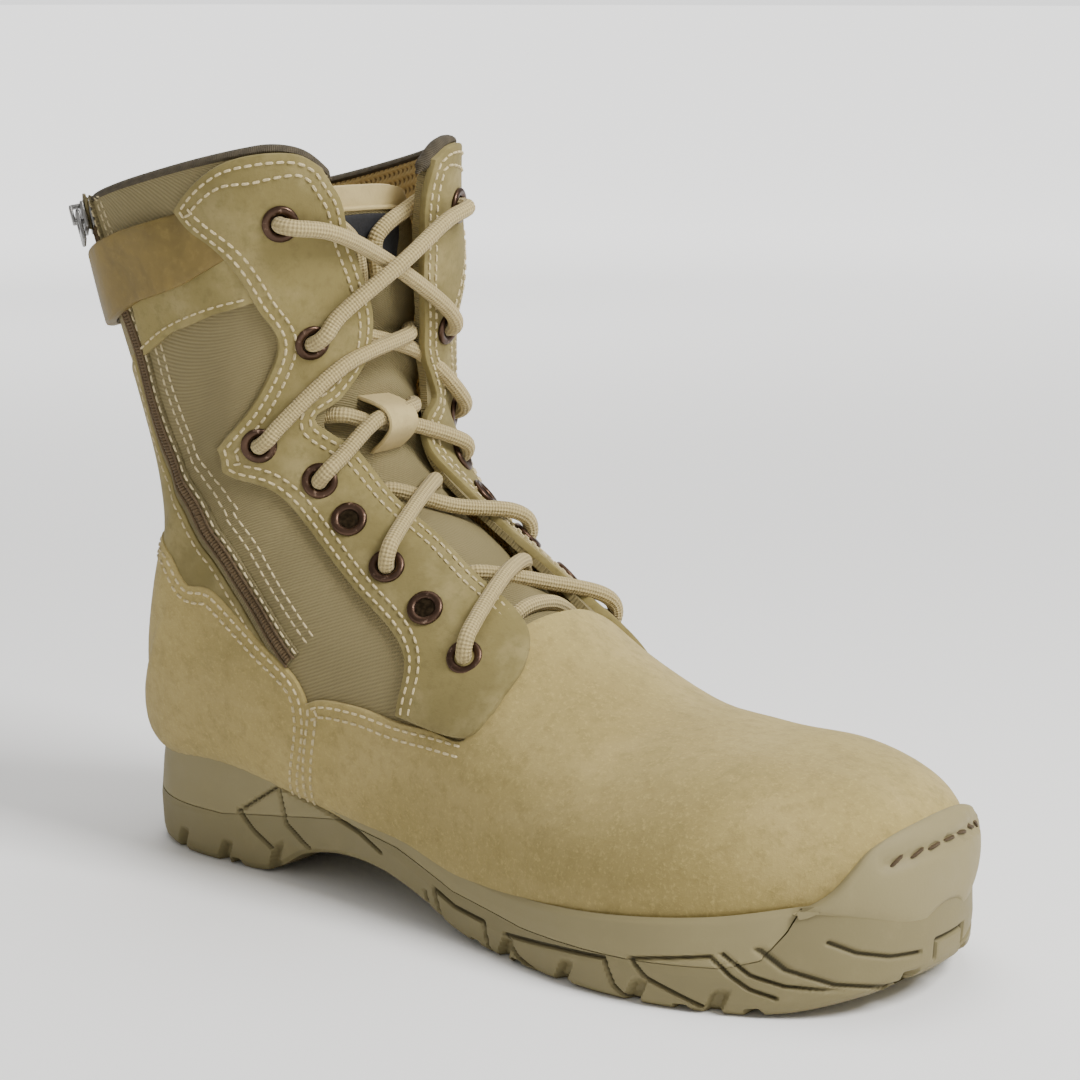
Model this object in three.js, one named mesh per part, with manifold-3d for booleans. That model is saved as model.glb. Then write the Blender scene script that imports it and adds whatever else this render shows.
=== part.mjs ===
// Left combat boot with a side zip, standing on its sole.
// Millimetres, +Z up, toe towards -Y, inner (medial) side towards -X, floor at z = 0.
import * as THREE from 'three';
import { mergeVertices } from 'three/addons/utils/BufferGeometryUtils.js';
import Module from 'manifold-3d';

const wasm = await Module();
wasm.setup();

// ---- driving dimensions ----
const GAP = 0.3;            // space kept between pieces that touch
const WALL = 2.4;           // upper wall at toe and vamp
const COLLAR_WALL = 4.2;    // padded wall at the collar
const TOE_Y = -259;         // front of the featherline, where upper meets sole
const HEEL_Y = 13;          // back of the featherline
const TOE_ROUND = 78;       // length over which the toe outline closes
const HEEL_ROUND = 36;      // length over which the heel outline closes
const SOLE_GROW = 5.2;      // how far the sole stands out from the featherline
const INNER = -1;           // side of the big toe
const OUTER = 1;

// Half widths of the featherline, toe to heel.
const PLAN = [
  { y: -259, inner: 47, outer: 53 },
  { y: -230, inner: 48, outer: 57 },
  { y: -203, inner: 50, outer: 59.5 },
  { y: -175, inner: 49, outer: 56 },
  { y: -145, inner: 43, outer: 50 },
  { y: -115, inner: 37, outer: 46 },
  { y: -85, inner: 33, outer: 43 },
  { y: -55, inner: 31, outer: 40 },
  { y: -25, inner: 31, outer: 37 },
  { y: -5, inner: 31, outer: 35 },
  { y: 13, inner: 31, outer: 35 },
];

// Sections of the last, toe to collar. Each lies in the plane through its ridge point
// (front) and its base point (featherline, then back seam). inner and outer are how far
// the section swells beyond the featherline, at the height belly.
const SECTIONS = [
  { ridgeY: -259, ridgeZ: 23, baseY: -259, baseZ: 21, inner: 0, outer: 0, ridgeX: 1, baseX: 0,
    belly: 0.4, front: 2.2, back: 2.2, twist: 0 },
  { ridgeY: -260.5, ridgeZ: 31, baseY: -256, baseZ: 19.5, inner: 1, outer: 1, ridgeX: 1, baseX: 0,
    belly: 0.4, front: 2.2, back: 2.2, twist: 0 },
  { ridgeY: -260, ridgeZ: 41, baseY: -249, baseZ: 18, inner: 1, outer: 1, ridgeX: 1, baseX: 0,
    belly: 0.4, front: 2.2, back: 2.2, twist: 0 },
  { ridgeY: -254, ridgeZ: 50.5, baseY: -239, baseZ: 16, inner: 1, outer: 1, ridgeX: 1, baseX: 0,
    belly: 0.38, front: 2.2, back: 2.2, twist: 0 },
  { ridgeY: -241, ridgeZ: 57, baseY: -224, baseZ: 13.5, inner: 1, outer: 1, ridgeX: 1, baseX: 0,
    belly: 0.36, front: 2.2, back: 2.2, twist: 0 },
  { ridgeY: -219, ridgeZ: 61, baseY: -204, baseZ: 11, inner: 1, outer: 1, ridgeX: 1, baseX: 0,
    belly: 0.34, front: 2.2, back: 2.2, twist: 0 },
  { ridgeY: -194, ridgeZ: 61.5, baseY: -181, baseZ: 9.5, inner: 1, outer: 1, ridgeX: 1, baseX: 0,
    belly: 0.32, front: 2.1, back: 2.2, twist: 0 },
  { ridgeY: -170, ridgeZ: 65.5, baseY: -156, baseZ: 10, inner: 2, outer: 1, ridgeX: 1, baseX: 0,
    belly: 0.32, front: 2.1, back: 2.2, twist: 0 },
  { ridgeY: -148, ridgeZ: 76, baseY: -130, baseZ: 12.5, inner: 3, outer: 2, ridgeX: 0, baseX: 0,
    belly: 0.32, front: 2.1, back: 2.2, twist: 1 },
  { ridgeY: -129, ridgeZ: 89, baseY: -104, baseZ: 17, inner: 4, outer: 3, ridgeX: -1, baseX: 0,
    belly: 0.34, front: 2.1, back: 2.2, twist: 2 },
  { ridgeY: -111, ridgeZ: 100, baseY: -79, baseZ: 23.5, inner: 7, outer: 6, ridgeX: -1, baseX: 0,
    belly: 0.38, front: 2.1, back: 2.2, twist: 4 },
  { ridgeY: -96, ridgeZ: 109, baseY: -56, baseZ: 28, inner: 9, outer: 10, ridgeX: -2, baseX: 0,
    belly: 0.42, front: 2.1, back: 2.2, twist: 6 },
  { ridgeY: -84, ridgeZ: 118, baseY: -34, baseZ: 30.5, inner: 11, outer: 12, ridgeX: -3, baseX: 1,
    belly: 0.45, front: 2.1, back: 2.2, twist: 7 },
  { ridgeY: -75, ridgeZ: 128, baseY: -14, baseZ: 31, inner: 11, outer: 13, ridgeX: -3, baseX: 1,
    belly: 0.48, front: 2.1, back: 2.2, twist: 8 },
  { ridgeY: -70, ridgeZ: 139, baseY: 1, baseZ: 31, inner: 11, outer: 13, ridgeX: -4, baseX: 1,
    belly: 0.5, front: 2.2, back: 2.1, twist: 8 },
  { ridgeY: -69, ridgeZ: 150, baseY: 10.5, baseZ: 31.5, inner: 11, outer: 11, ridgeX: -5, baseX: 1,
    belly: 0.5, front: 2.2, back: 2.1, twist: 8 },
  { ridgeY: -70.5, ridgeZ: 161, baseY: 12.5, baseZ: 39, inner: 11, outer: 10, ridgeX: -6, baseX: 1,
    belly: 0.5, front: 2.3, back: 2.1, twist: 8 },
  { ridgeY: -73, ridgeZ: 172, baseY: 9, baseZ: 56, inner: 11, outer: 8, ridgeX: -7, baseX: 0,
    belly: 0.5, front: 2.4, back: 2.1, twist: 8 },
  { ridgeY: -75, ridgeZ: 183, baseY: 1, baseZ: 80, inner: 12, outer: 8, ridgeX: -9, baseX: 0,
    belly: 0.5, front: 2.5, back: 2.1, twist: 8 },
  { ridgeY: -77, ridgeZ: 193, baseY: -1, baseZ: 106, inner: 13, outer: 7, ridgeX: -10, baseX: -3,
    belly: 0.5, front: 2.6, back: 2.1, twist: 8 },
  { ridgeY: -79, ridgeZ: 203, baseY: 4, baseZ: 135, inner: 14.5, outer: 6, ridgeX: -11, baseX: -6,
    belly: 0.5, front: 2.7, back: 2.1, twist: 8 },
  { ridgeY: -80.5, ridgeZ: 213, baseY: 11, baseZ: 166, inner: 16, outer: 6, ridgeX: -12, baseX: -9,
    belly: 0.5, front: 2.7, back: 2.2, twist: 8 },
  { ridgeY: -82, ridgeZ: 224, baseY: 19, baseZ: 199, inner: 17, outer: 6, ridgeX: -12, baseX: -11,
    belly: 0.5, front: 2.7, back: 2.2, twist: 8 },
];

// ---- small helpers ----
const lerp = (a, b, t) => a + (b - a) * t;
const clamp = (v, lo, hi) => Math.min(hi, Math.max(lo, v));
const smooth = (lo, hi, v) => {
  const t = clamp((v - lo) / (hi - lo), 0, 1);
  return t * t * (3 - 2 * t);
};

// Smooth curve through equally spaced values.
function through(values, t) {
  const x = clamp(t, 0, 1) * (values.length - 1);
  const i = Math.min(Math.floor(x), values.length - 2);
  const f = x - i;
  const at = (k) => values[clamp(k, 0, values.length - 1)];
  const [a, b, c, d] = [at(i - 1), at(i), at(i + 1), at(i + 2)];
  return b + 0.5 * f * (c - a + f * (2 * a - 5 * b + 4 * c - d + f * (3 * (b - c) + d - a)));
}

// Smooth column of a table against another of its columns.
function column(rows, key, name, v) {
  const keys = rows.map((r) => r[key]);
  let i = 0;
  while (i < keys.length - 2 && v > keys[i + 1]) i += 1;
  const f = clamp((v - keys[i]) / (keys[i + 1] - keys[i]), 0, 1);
  return through(rows.map((r) => r[name]), (i + f) / (rows.length - 1));
}

// Half width of the featherline at y, moved outwards by grow.
function plan(y, side, grow = 0) {
  const toe = (y - (TOE_Y - grow)) / (TOE_ROUND + grow);
  const heel = (HEEL_Y + grow - y) / (HEEL_ROUND + grow);
  let half = column(PLAN, 'y', side === INNER ? 'inner' : 'outer', y) + grow;
  if (toe <= 0 || heel <= 0) return 0;
  if (toe < 1) half *= (1 - (1 - toe) ** 2.2) ** (1 / 2.2);
  if (heel < 1) half *= (1 - (1 - heel) ** 2.2) ** (1 / 2.2);
  return half;
}

// One section of the last as a fine polyline on one side: across x, up v.
const DENSE = 48;
function halfSection(s, side) {
  const row = {};
  for (const key of Object.keys(SECTIONS[0])) row[key] = through(SECTIONS.map((r) => r[key]), s);
  const bellyY = lerp(row.baseY, row.ridgeY, row.belly);
  const half = plan(bellyY, side) + (side === INNER ? row.inner : row.outer) * smooth(0, 0.04, s);
  const foot = plan(row.baseY, side) * (1 - smooth(31.5, 34, row.baseZ));
  const pts = [];
  for (let k = 0; k <= DENSE; k += 1) {
    const angle = (Math.PI * k) / DENSE;
    let x;
    let v;
    if (angle < Math.PI / 2) {
      x = half * Math.sin(angle) ** (2 / row.front);
      v = row.belly + (1 - row.belly) * Math.cos(angle) ** (2 / row.front);
    } else {
      x = foot + (half - foot) * Math.max(0, Math.sin(angle)) ** (2 / row.back);
      v = row.belly * (1 - Math.abs(Math.cos(angle)) ** (2 / row.back));
    }
    const lean = (row.twist * side * x) / 50;
    pts.push(new THREE.Vector3(
      lerp(row.baseX, row.ridgeX, v) + side * x,
      lerp(row.baseY, row.ridgeY, v) - lean,
      lerp(row.baseZ, row.ridgeZ, v),
    ));
  }
  return pts;
}

// Point of the last at station s (0 toe, 1 collar) and place a along the section:
// 0 on the ridge, -1 and 1 on the inner and outer featherline or the back seam.
const sectionCache = new Map();
function skin(s, a) {
  const side = a < 0 ? INNER : OUTER;
  const key = `${s.toFixed(6)}${side}`;
  if (!sectionCache.has(key)) {
    const pts = halfSection(s, side);
    const sum = [0];
    for (let k = 1; k < pts.length; k += 1) sum.push(sum[k - 1] + pts[k].distanceTo(pts[k - 1]));
    sectionCache.set(key, { pts, sum });
  }
  const { pts, sum } = sectionCache.get(key);
  const want = Math.abs(a) * sum[sum.length - 1];
  let i = 0;
  while (i < sum.length - 2 && sum[i + 1] < want) i += 1;
  const f = sum[i + 1] > sum[i] ? (want - sum[i]) / (sum[i + 1] - sum[i]) : 0;
  return pts[i].clone().lerp(pts[i + 1], clamp(f, 0, 1));
}

// Length of the half section in mm.
function girth(s, side) {
  skin(s, side * 0.5);
  const { sum } = sectionCache.get(`${s.toFixed(6)}${side}`);
  return sum[sum.length - 1];
}

function normal(s, a) {
  if (s < 0.004) return new THREE.Vector3(0, -1, 0);
  const seam = Math.abs(a) === 1 && skin(s, -1).distanceTo(skin(s, 1)) < 1e-3;
  if (seam) return sideNormal(s, -1).add(sideNormal(s, 1)).normalize();
  return sideNormal(s, a);
}

function sideNormal(s, a) {
  const ds = 0.004;
  const da = 0.02;
  const along = skin(Math.min(1, s + ds), a).sub(skin(Math.max(0.002, s - ds), a));
  const lowA = Math.max(-1, a - da);
  const highA = Math.min(1, a + da);
  const across = skin(s, highA).sub(skin(s, lowA));
  return across.cross(along).normalize();
}

const offset = (s, a, d) => skin(s, a).addScaledVector(normal(s, a), d);
const wallAt = (s) => lerp(WALL, COLLAR_WALL, smooth(0.62, 0.9, s));

// Closed solid from a list of quads or triangles of Vector3 corners.
function solidFrom(faces) {
  const position = [];
  for (const face of faces) {
    for (let k = 1; k < face.length - 1; k += 1) {
      const tri = [face[0], face[k], face[k + 1]];
      for (const p of tri) position.push(p.x, p.y, p.z);
    }
  }
  const geometry = new THREE.BufferGeometry();
  geometry.setAttribute('position', new THREE.Float32BufferAttribute(position, 3));
  return manifold(geometry);
}

function manifold(geometry) {
  const bare = geometry.clone();
  bare.deleteAttribute('normal');
  bare.deleteAttribute('uv');
  const merged = mergeVertices(bare, 1e-3);
  const index = Array.from(merged.index.array);
  const kept = [];
  for (let k = 0; k < index.length; k += 3) {
    const [a, b, c] = [index[k], index[k + 1], index[k + 2]];
    if (a !== b && b !== c && c !== a) kept.push(a, b, c);
  }
  return new wasm.Manifold(new wasm.Mesh({
    numProp: 3,
    vertProperties: new Float32Array(merged.attributes.position.array),
    triVerts: new Uint32Array(kept),
  }));
}

// The largest body of a cut solid, without slivers.
function mainBody(solid) {
  const bodies = solid.decompose();
  return bodies.reduce((best, body) => (body.volume() > best.volume() ? body : best));
}

function meshOf(name, solid, look) {
  const mesh = mainBody(solid).getMesh();
  const geometry = new THREE.BufferGeometry();
  geometry.setAttribute('position', new THREE.BufferAttribute(mesh.vertProperties, 3));
  geometry.setIndex(new THREE.BufferAttribute(mesh.triVerts, 1));
  geometry.computeVertexNormals();
  const out = new THREE.Mesh(geometry, new THREE.MeshStandardMaterial(look));
  out.name = name;
  return out;
}

// ---- solids that follow the last ----
const STEPS_LONG = 31;
const STEPS_ROUND = 20;
const stations = Array.from({ length: STEPS_LONG + 1 }, (_, i) => i / STEPS_LONG);
const places = Array.from({ length: STEPS_ROUND + 1 }, (_, j) => (2 * j) / STEPS_ROUND - 1);
const gridAt = (depth) => stations.map((s) => places.map((a) => offset(s, a, depth(s))));
const same = (p, q) => p.distanceTo(q) < 1e-3;

// The last filled in and moved outwards by grow, its base lowered by drop.
function form(grow, drop = GAP) {
  const grid = gridAt(() => grow);
  for (const row of grid) {
    const open = !same(row[0], row[STEPS_ROUND]);
    if (open) {
      row[0].z -= drop;
      row[STEPS_ROUND].z -= drop;
    }
  }
  const faces = [];
  for (let i = 0; i < STEPS_LONG; i += 1) {
    for (let j = 0; j < STEPS_ROUND; j += 1) {
      faces.push([grid[i][j], grid[i][j + 1], grid[i + 1][j + 1], grid[i + 1][j]]);
    }
    faces.push([grid[i][STEPS_ROUND], grid[i][0], grid[i + 1][0], grid[i + 1][STEPS_ROUND]]);
  }
  const top = grid[STEPS_LONG];
  for (let j = 0; j < STEPS_ROUND / 2; j += 1) {
    faces.push([top[j], top[j + 1], top[STEPS_ROUND - j - 1], top[STEPS_ROUND - j]]);
  }
  return solidFrom(faces);
}

// Prism over an outline in the side view (y, z), from x0 to x1.
function sideCurtain(outline, x0, x1) {
  const shape = new THREE.Shape(outline.map(([y, z]) => new THREE.Vector2(y, z)));
  const geometry = new THREE.ExtrudeGeometry(shape, { depth: x1 - x0, bevelEnabled: false, curveSegments: 1 });
  const basis = new THREE.Matrix4().makeBasis(
    new THREE.Vector3(0, 1, 0),
    new THREE.Vector3(0, 0, 1),
    new THREE.Vector3(1, 0, 0),
  );
  geometry.applyMatrix4(basis);
  geometry.translate(x0, 0, 0);
  return manifold(geometry);
}

// Band of one width along a path in the side view.
function bandOutline(path, width) {
  const curve = new THREE.SplineCurve(path.map(([y, z]) => new THREE.Vector2(y, z)));
  const left = [];
  const right = [];
  const steps = path.length * 2;
  for (let k = 0; k <= steps; k += 1) {
    const p = curve.getPoint(k / steps);
    const t = curve.getTangent(k / steps);
    left.push([p.x - (t.y * width) / 2, p.y + (t.x * width) / 2]);
    right.unshift([p.x + (t.y * width) / 2, p.y - (t.x * width) / 2]);
  }
  return left.concat(right);
}

// ---- upper: one hollow shell ----
function upperShell() {
  const outer = gridAt(() => 0);
  const inner = gridAt((s) => -wallAt(s));
  for (let i = 0; i <= STEPS_LONG; i += 1) {
    for (const point of inner[i]) point.z = Math.max(point.z, outer[i][0].z);
  }
  const faces = [];
  for (let i = 0; i < STEPS_LONG; i += 1) {
    for (let j = 0; j < STEPS_ROUND; j += 1) {
      faces.push([outer[i][j], outer[i][j + 1], outer[i + 1][j + 1], outer[i + 1][j]]);
      faces.push([inner[i][j], inner[i + 1][j], inner[i + 1][j + 1], inner[i][j + 1]]);
    }
    const n = STEPS_ROUND;
    const closed = same(outer[i][0], outer[i][n]) && same(outer[i + 1][0], outer[i + 1][n]);
    if (i === 0 || !closed) {
      faces.push([outer[i][0], outer[i + 1][0], inner[i + 1][0], inner[i][0]]);
      faces.push([outer[i][n], inner[i][n], inner[i + 1][n], outer[i + 1][n]]);
    }
  }
  const [rimOut, rimIn] = [outer[STEPS_LONG], inner[STEPS_LONG]];
  for (let j = 0; j < STEPS_ROUND; j += 1) {
    faces.push([rimOut[j], rimOut[j + 1], rimIn[j + 1], rimIn[j]]);
  }
  return solidFrom(faces);
}

// Opening between the two lace facings, mm from the ridge on each side.
const THROAT = [
  { s: 0.395, inner: 12, outer: 15 },
  { s: 0.405, inner: 15, outer: 20 },
  { s: 0.43, inner: 15, outer: 22 },
  { s: 0.47, inner: 12, outer: 21 },
  { s: 0.53, inner: 10, outer: 18 },
  { s: 0.585, inner: 9.5, outer: 13 },
  { s: 0.62, inner: 14, outer: 14 },
  { s: 0.655, inner: 20, outer: 19 },
  { s: 0.69, inner: 16, outer: 20 },
  { s: 0.73, inner: 8, outer: 16 },
  { s: 0.78, inner: 6.5, outer: 14.5 },
  { s: 0.83, inner: 10, outer: 13.5 },
  { s: 0.88, inner: 14, outer: 12 },
  { s: 0.93, inner: 18, outer: 12.5 },
  { s: 0.965, inner: 22, outer: 15 },
  { s: 0.99, inner: 30, outer: 21 },
  { s: 1, inner: 39, outer: 29 },
];

// Closed block over rows of the last: each row gives s and its two edges in mm from the ridge.
function block(rows, count, low, high) {
  const point = (row, j, top) => {
    const mm = lerp(-row.inner, row.outer, j / count);
    const a = mm / girth(row.s, mm < 0 ? INNER : OUTER);
    const p = offset(row.s, a, top ? high(row.s) : low(row.s));
    p.z += row.lift ?? 0;
    return p;
  };
  const grid = (top) => rows.map((row) => Array.from({ length: count + 1 }, (_, j) => point(row, j, top)));
  const [upper, lower] = [grid(true), grid(false)];
  const faces = [];
  for (let i = 0; i < rows.length - 1; i += 1) {
    for (let j = 0; j < count; j += 1) {
      faces.push([upper[i][j], upper[i][j + 1], upper[i + 1][j + 1], upper[i + 1][j]]);
      faces.push([lower[i][j], lower[i + 1][j], lower[i + 1][j + 1], lower[i][j + 1]]);
    }
    faces.push([lower[i][0], upper[i][0], upper[i + 1][0], lower[i + 1][0]]);
    faces.push([upper[i][count], lower[i][count], lower[i + 1][count], upper[i + 1][count]]);
  }
  const last = rows.length - 1;
  for (let j = 0; j < count; j += 1) {
    faces.push([upper[0][j], lower[0][j], lower[0][j + 1], upper[0][j + 1]]);
    faces.push([lower[last][j], upper[last][j], upper[last][j + 1], lower[last][j + 1]]);
  }
  return solidFrom(faces);
}

const rowAt = (rows, s) => ({
  s,
  inner: column(rows, 's', 'inner', s),
  outer: column(rows, 's', 'outer', s),
});

// ---- eyelets ----
const EYELETS = [
  { s: 0.925, inner: 37, outer: 29 },
  { s: 0.775, inner: 27, outer: 28 },
  { s: 0.704, inner: 46, outer: 44.5 },
  { s: 0.604, inner: 27.5, outer: 29 },
  { s: 0.551, inner: 26, outer: 29 },
  { s: 0.496, inner: 27.5, outer: 31.5 },
  { s: 0.452, inner: 29.5, outer: 34.5 },
  { s: 0.412, inner: 32, outer: 39 },
];
const EYELET_HOLE = 6.2;
const EYELET_FLANGE = 11;
const EYELET_LIP = 1;
const EYELET_RAISE = 0.7;    // clear of the curved leather under the flange
const EYELET_SIDES = 8;

function frameAt(s, mm) {
  const a = mm / girth(s, mm < 0 ? INNER : OUTER);
  const out = normal(s, a);
  const up = skin(Math.min(1, s + 0.01), a).sub(skin(s - 0.01, a));
  up.addScaledVector(out, -up.dot(out)).normalize();
  const across = new THREE.Vector3().crossVectors(up, out);
  return new THREE.Matrix4().makeBasis(across, up, out).setPosition(skin(s, a));
}

function turned(profile, sides) {
  const points = profile.map(([r, h]) => new THREE.Vector2(r, h));
  const geometry = new THREE.LatheGeometry(points, sides);
  geometry.rotateX(Math.PI / 2);
  return geometry;
}

const eyeletHole = (wall) => turned([
  [0, -wall - 4], [EYELET_HOLE / 2 + 1.4, -wall - 4], [EYELET_HOLE / 2 + 1.4, 6], [0, 6], [0, -wall - 4],
], EYELET_SIDES);

const eyeletRing = (wall) => turned([
  [EYELET_HOLE / 2, GAP - wall],
  [EYELET_HOLE / 2 + 0.8, GAP - wall],
  [EYELET_HOLE / 2 + 0.8, EYELET_RAISE],
  [EYELET_FLANGE / 2, EYELET_RAISE],
  [EYELET_HOLE / 2, EYELET_RAISE + EYELET_LIP],
  [EYELET_HOLE / 2, GAP - wall],
], EYELET_SIDES);

// ---- sole ----
// Height of the sole's upper edge and of its tread, and the seam between midsole and outsole.
const LIP = [
  { y: -270, z: 33 }, { y: -244, z: 31 }, { y: -222, z: 26.5 }, { y: -200, z: 23.5 },
  { y: -178, z: 21 }, { y: -156, z: 19.5 }, { y: -136, z: 20.5 }, { y: -118, z: 25 },
  { y: -100, z: 32 }, { y: -80, z: 38.5 }, { y: -60, z: 40.5 }, { y: -40, z: 40 },
  { y: -20, z: 41.5 }, { y: 0, z: 44 }, { y: 20, z: 45.5 },
];
const TREAD = [
  { y: -268, z: 11 }, { y: -254, z: 5.5 }, { y: -240, z: 1.5 }, { y: -226, z: 0 }, { y: -212, z: 0 },
  { y: -190, z: 0 }, { y: -168, z: 0 }, { y: -150, z: 0 }, { y: -132, z: 2 }, { y: -114, z: 8 },
  { y: -96, z: 12 }, { y: -78, z: 12.5 }, { y: -62, z: 9 }, { y: -50, z: 2 }, { y: -40, z: 0 },
  { y: -20, z: 0 }, { y: 0, z: 0 }, { y: 10, z: 0 }, { y: 20, z: 3 },
];
const SEAM = [
  [26, 17], [0, 16], [-30, 16], [-55, 20], [-80, 24], [-105, 21], [-130, 14], [-160, 11.5], [-200, 12],
  [-225, 13], [-234, 16], [-240, 24], [-245, 34], [-249, 42], [-254, 48], [-262, 51.5], [-280, 53],
];
const RIM_STEPS = 26;       // steps along each side of the sole outline
const BUMPER = 4.6;         // thickness of the toe bumper over the upper

const treadAt = (y) => Math.max(0, column(TREAD, 'y', 'z', y));
const lipAt = (y) => column(LIP, 'y', 'z', y);
const footbedAt = (y) => column([...SECTIONS.slice(0, 16)], 'baseY', 'baseZ', y);

// Rings of the sole from the middle of the tread, over the sidewall, to the cup edge.
const RINGS = [
  { grow: SOLE_GROW - 9, z: (y) => treadAt(y) },
  { grow: SOLE_GROW - 1.6, z: (y) => treadAt(y) },
  { grow: SOLE_GROW + 0.2, z: (y) => treadAt(y) + 3 },
  { grow: SOLE_GROW + 0.6, z: (y) => lerp(treadAt(y), lipAt(y), 0.4) },
  { grow: SOLE_GROW - 0.4, z: (y) => lerp(treadAt(y), lipAt(y), 0.75) },
  { grow: SOLE_GROW - 1.8, z: (y) => lipAt(y) },
  { grow: -3, z: (y) => lipAt(y) - 0.6 },
];

function soleBlock() {
  const rings = RINGS.map(({ grow, z }) => {
    const ring = [];
    const toe = TOE_Y - grow;
    const heel = HEEL_Y + grow;
    for (let k = 0; k < 2 * RIM_STEPS; k += 1) {
      const angle = (Math.PI * k) / RIM_STEPS;
      const y = lerp(toe, heel, (1 - Math.cos(angle)) / 2);
      const side = k <= RIM_STEPS ? OUTER : INNER;
      ring.push(new THREE.Vector3(side * plan(y, side, grow), y, z(y)));
    }
    return ring;
  });
  const faces = [];
  const n = 2 * RIM_STEPS;
  for (let r = 0; r < rings.length - 1; r += 1) {
    for (let k = 0; k < n; k += 1) {
      const m = (k + 1) % n;
      faces.push([rings[r][k], rings[r][m], rings[r + 1][m], rings[r + 1][k]]);
    }
  }
  const cap = (ring, up) => {
    for (let k = 0; k < RIM_STEPS; k += 1) {
      const quad = [ring[k], ring[k + 1], ring[(n - k - 1) % n], ring[(n - k) % n]];
      faces.push(up ? quad : quad.reverse());
    }
  };
  cap(rings[0], false);
  cap(rings[rings.length - 1], true);
  return solidFrom(faces);
}

// Everything below the midsole seam, moved up and back by shift.
function belowSeam(shift) {
  const top = SEAM.map(([y, z]) => [y + shift, z + shift]);
  return sideCurtain([[-300, -20], [40, -20], [40, top[0][1]], ...top, [-300, top[top.length - 1][1]]], -90, 90);
}

// Tread grooves across the sole and slanted notches in its lower edge.
const TREAD_GROOVES = [-232, -214, -178, -158, -140, -34, 6];
const GROOVE_WIDTH = 3.6;
const GROOVE_DEPTH = 3;
const NOTCHES = [-222, -200, -176, -152, -50, -28, -8];
const NOTCH = { width: 5, reach: 7, height: 7, slant: 0.45 };

function boxSolid(w, d, h, matrix) {
  const geometry = new THREE.BoxGeometry(w, d, h);
  geometry.applyMatrix4(matrix);
  return manifold(geometry);
}

function treadCuts() {
  const cuts = TREAD_GROOVES.map((y) => boxSolid(
    200,
    GROOVE_WIDTH,
    2 * GROOVE_DEPTH,
    new THREE.Matrix4().makeTranslation(0, y, treadAt(y)),
  ));
  for (const y of NOTCHES) {
    for (const side of [INNER, OUTER]) {
      const matrix = new THREE.Matrix4().makeRotationX(NOTCH.slant);
      matrix.setPosition(side * (plan(y, side, SOLE_GROW) + 1), y, treadAt(y) + 2);
      cuts.push(boxSolid(NOTCH.reach, NOTCH.width, 2 * NOTCH.height, matrix));
    }
  }
  for (const side of [INNER, OUTER]) {
    const matrix = new THREE.Matrix4().makeTranslation(side * 13, TOE_Y - 2, 6);
    cuts.push(boxSolid(6, 18, 12, matrix));
  }
  return cuts;
}

// ---- zip, strap and pull ----
// Line of the zip in the side view, from the collar down to the instep.
const ZIP_LINE = [
  [6.5, 205], [1, 193], [-8, 179], [-14, 164], [-18, 146], [-22, 128], [-30, 113], [-38, 101],
  [-46, 91], [-55, 82], [-66, 71],
];
const ZIP_WIDTH = 8;
const ZIP_THICK = 1.5;
const STRAP_OUTLINE = [
  [-52, 190], [-37, 202], [-18, 197.5], [0, 191.5], [10, 188], [7, 166], [-4, 169.5], [-22, 177], [-40, 183],
];
const STRAP_LOW = 2.1;
const STRAP_HIGH = 4.3;
const STRAP_BASE = [
  [-44, 181], [-32, 199], [-19, 194], [-15.5, 186], [-18.5, 160], [-32, 168], [-47, 174],
];

function overlay(outline, low, high) {
  return form(high).subtract(form(low)).intersect(sideCurtain(outline, -90, -18));
}

// Slider and pull stand on the zip just above the strap. Their own axes: x across the
// zip, y out of the boot, z up along the zip.
const SLIDER_AT = { y: 5, z: 199.5, clear: 2.1 };
const SLIDER = { wide: 9, tall: 8, thick: 1.8 };
const BRIDGE = { wide: 2.4, tall: 6, space: 1.9, thick: 1.1 };
const PULL = { wide: 7, long: 10, thick: 1.2, window: 4, arm: 1.4 };

// Station and place of the last seen at (y, z) from one side.
function sidePlace(y, z, side) {
  let best = { s: 0.7, a: 0.5 * side, d: Infinity };
  let reach = 0.35;
  for (let round = 0; round < 5; round += 1) {
    const centre = best;
    for (let i = -12; i <= 12; i += 1) {
      for (let j = -12; j <= 12; j += 1) {
        const s = clamp(centre.s + (reach * i) / 12, 0.05, 1);
        const a = side * clamp(Math.abs(centre.a) + (reach * j) / 12, 0.02, 0.98);
        const p = skin(s, a);
        const d = Math.hypot(p.y - y, p.z - z);
        if (d < best.d) best = { s, a, d };
      }
    }
    reach /= 5;
  }
  return best;
}

function sliderFrame() {
  const { s, a } = sidePlace(SLIDER_AT.y, SLIDER_AT.z, INNER);
  const centre = skin(s, a);
  const out = normal(s, a);
  const [top, next] = ZIP_LINE;
  const low = sidePlace(next[0], next[1], INNER);
  const high = sidePlace(top[0], top[1], INNER);
  const up = skin(high.s, high.a).sub(skin(low.s, low.a));
  up.addScaledVector(out, -up.dot(out)).normalize();
  const across = new THREE.Vector3().crossVectors(out, up);
  return new THREE.Matrix4().makeBasis(across, out, up).setPosition(centre);
}

function boxAt(frame, size, centre) {
  const matrix = frame.clone().multiply(new THREE.Matrix4().makeTranslation(...centre));
  return boxSolid(...size, matrix);
}

const PIVOT = { out: SLIDER_AT.clear + SLIDER.thick + BRIDGE.space / 2, up: 1.6 };

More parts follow.
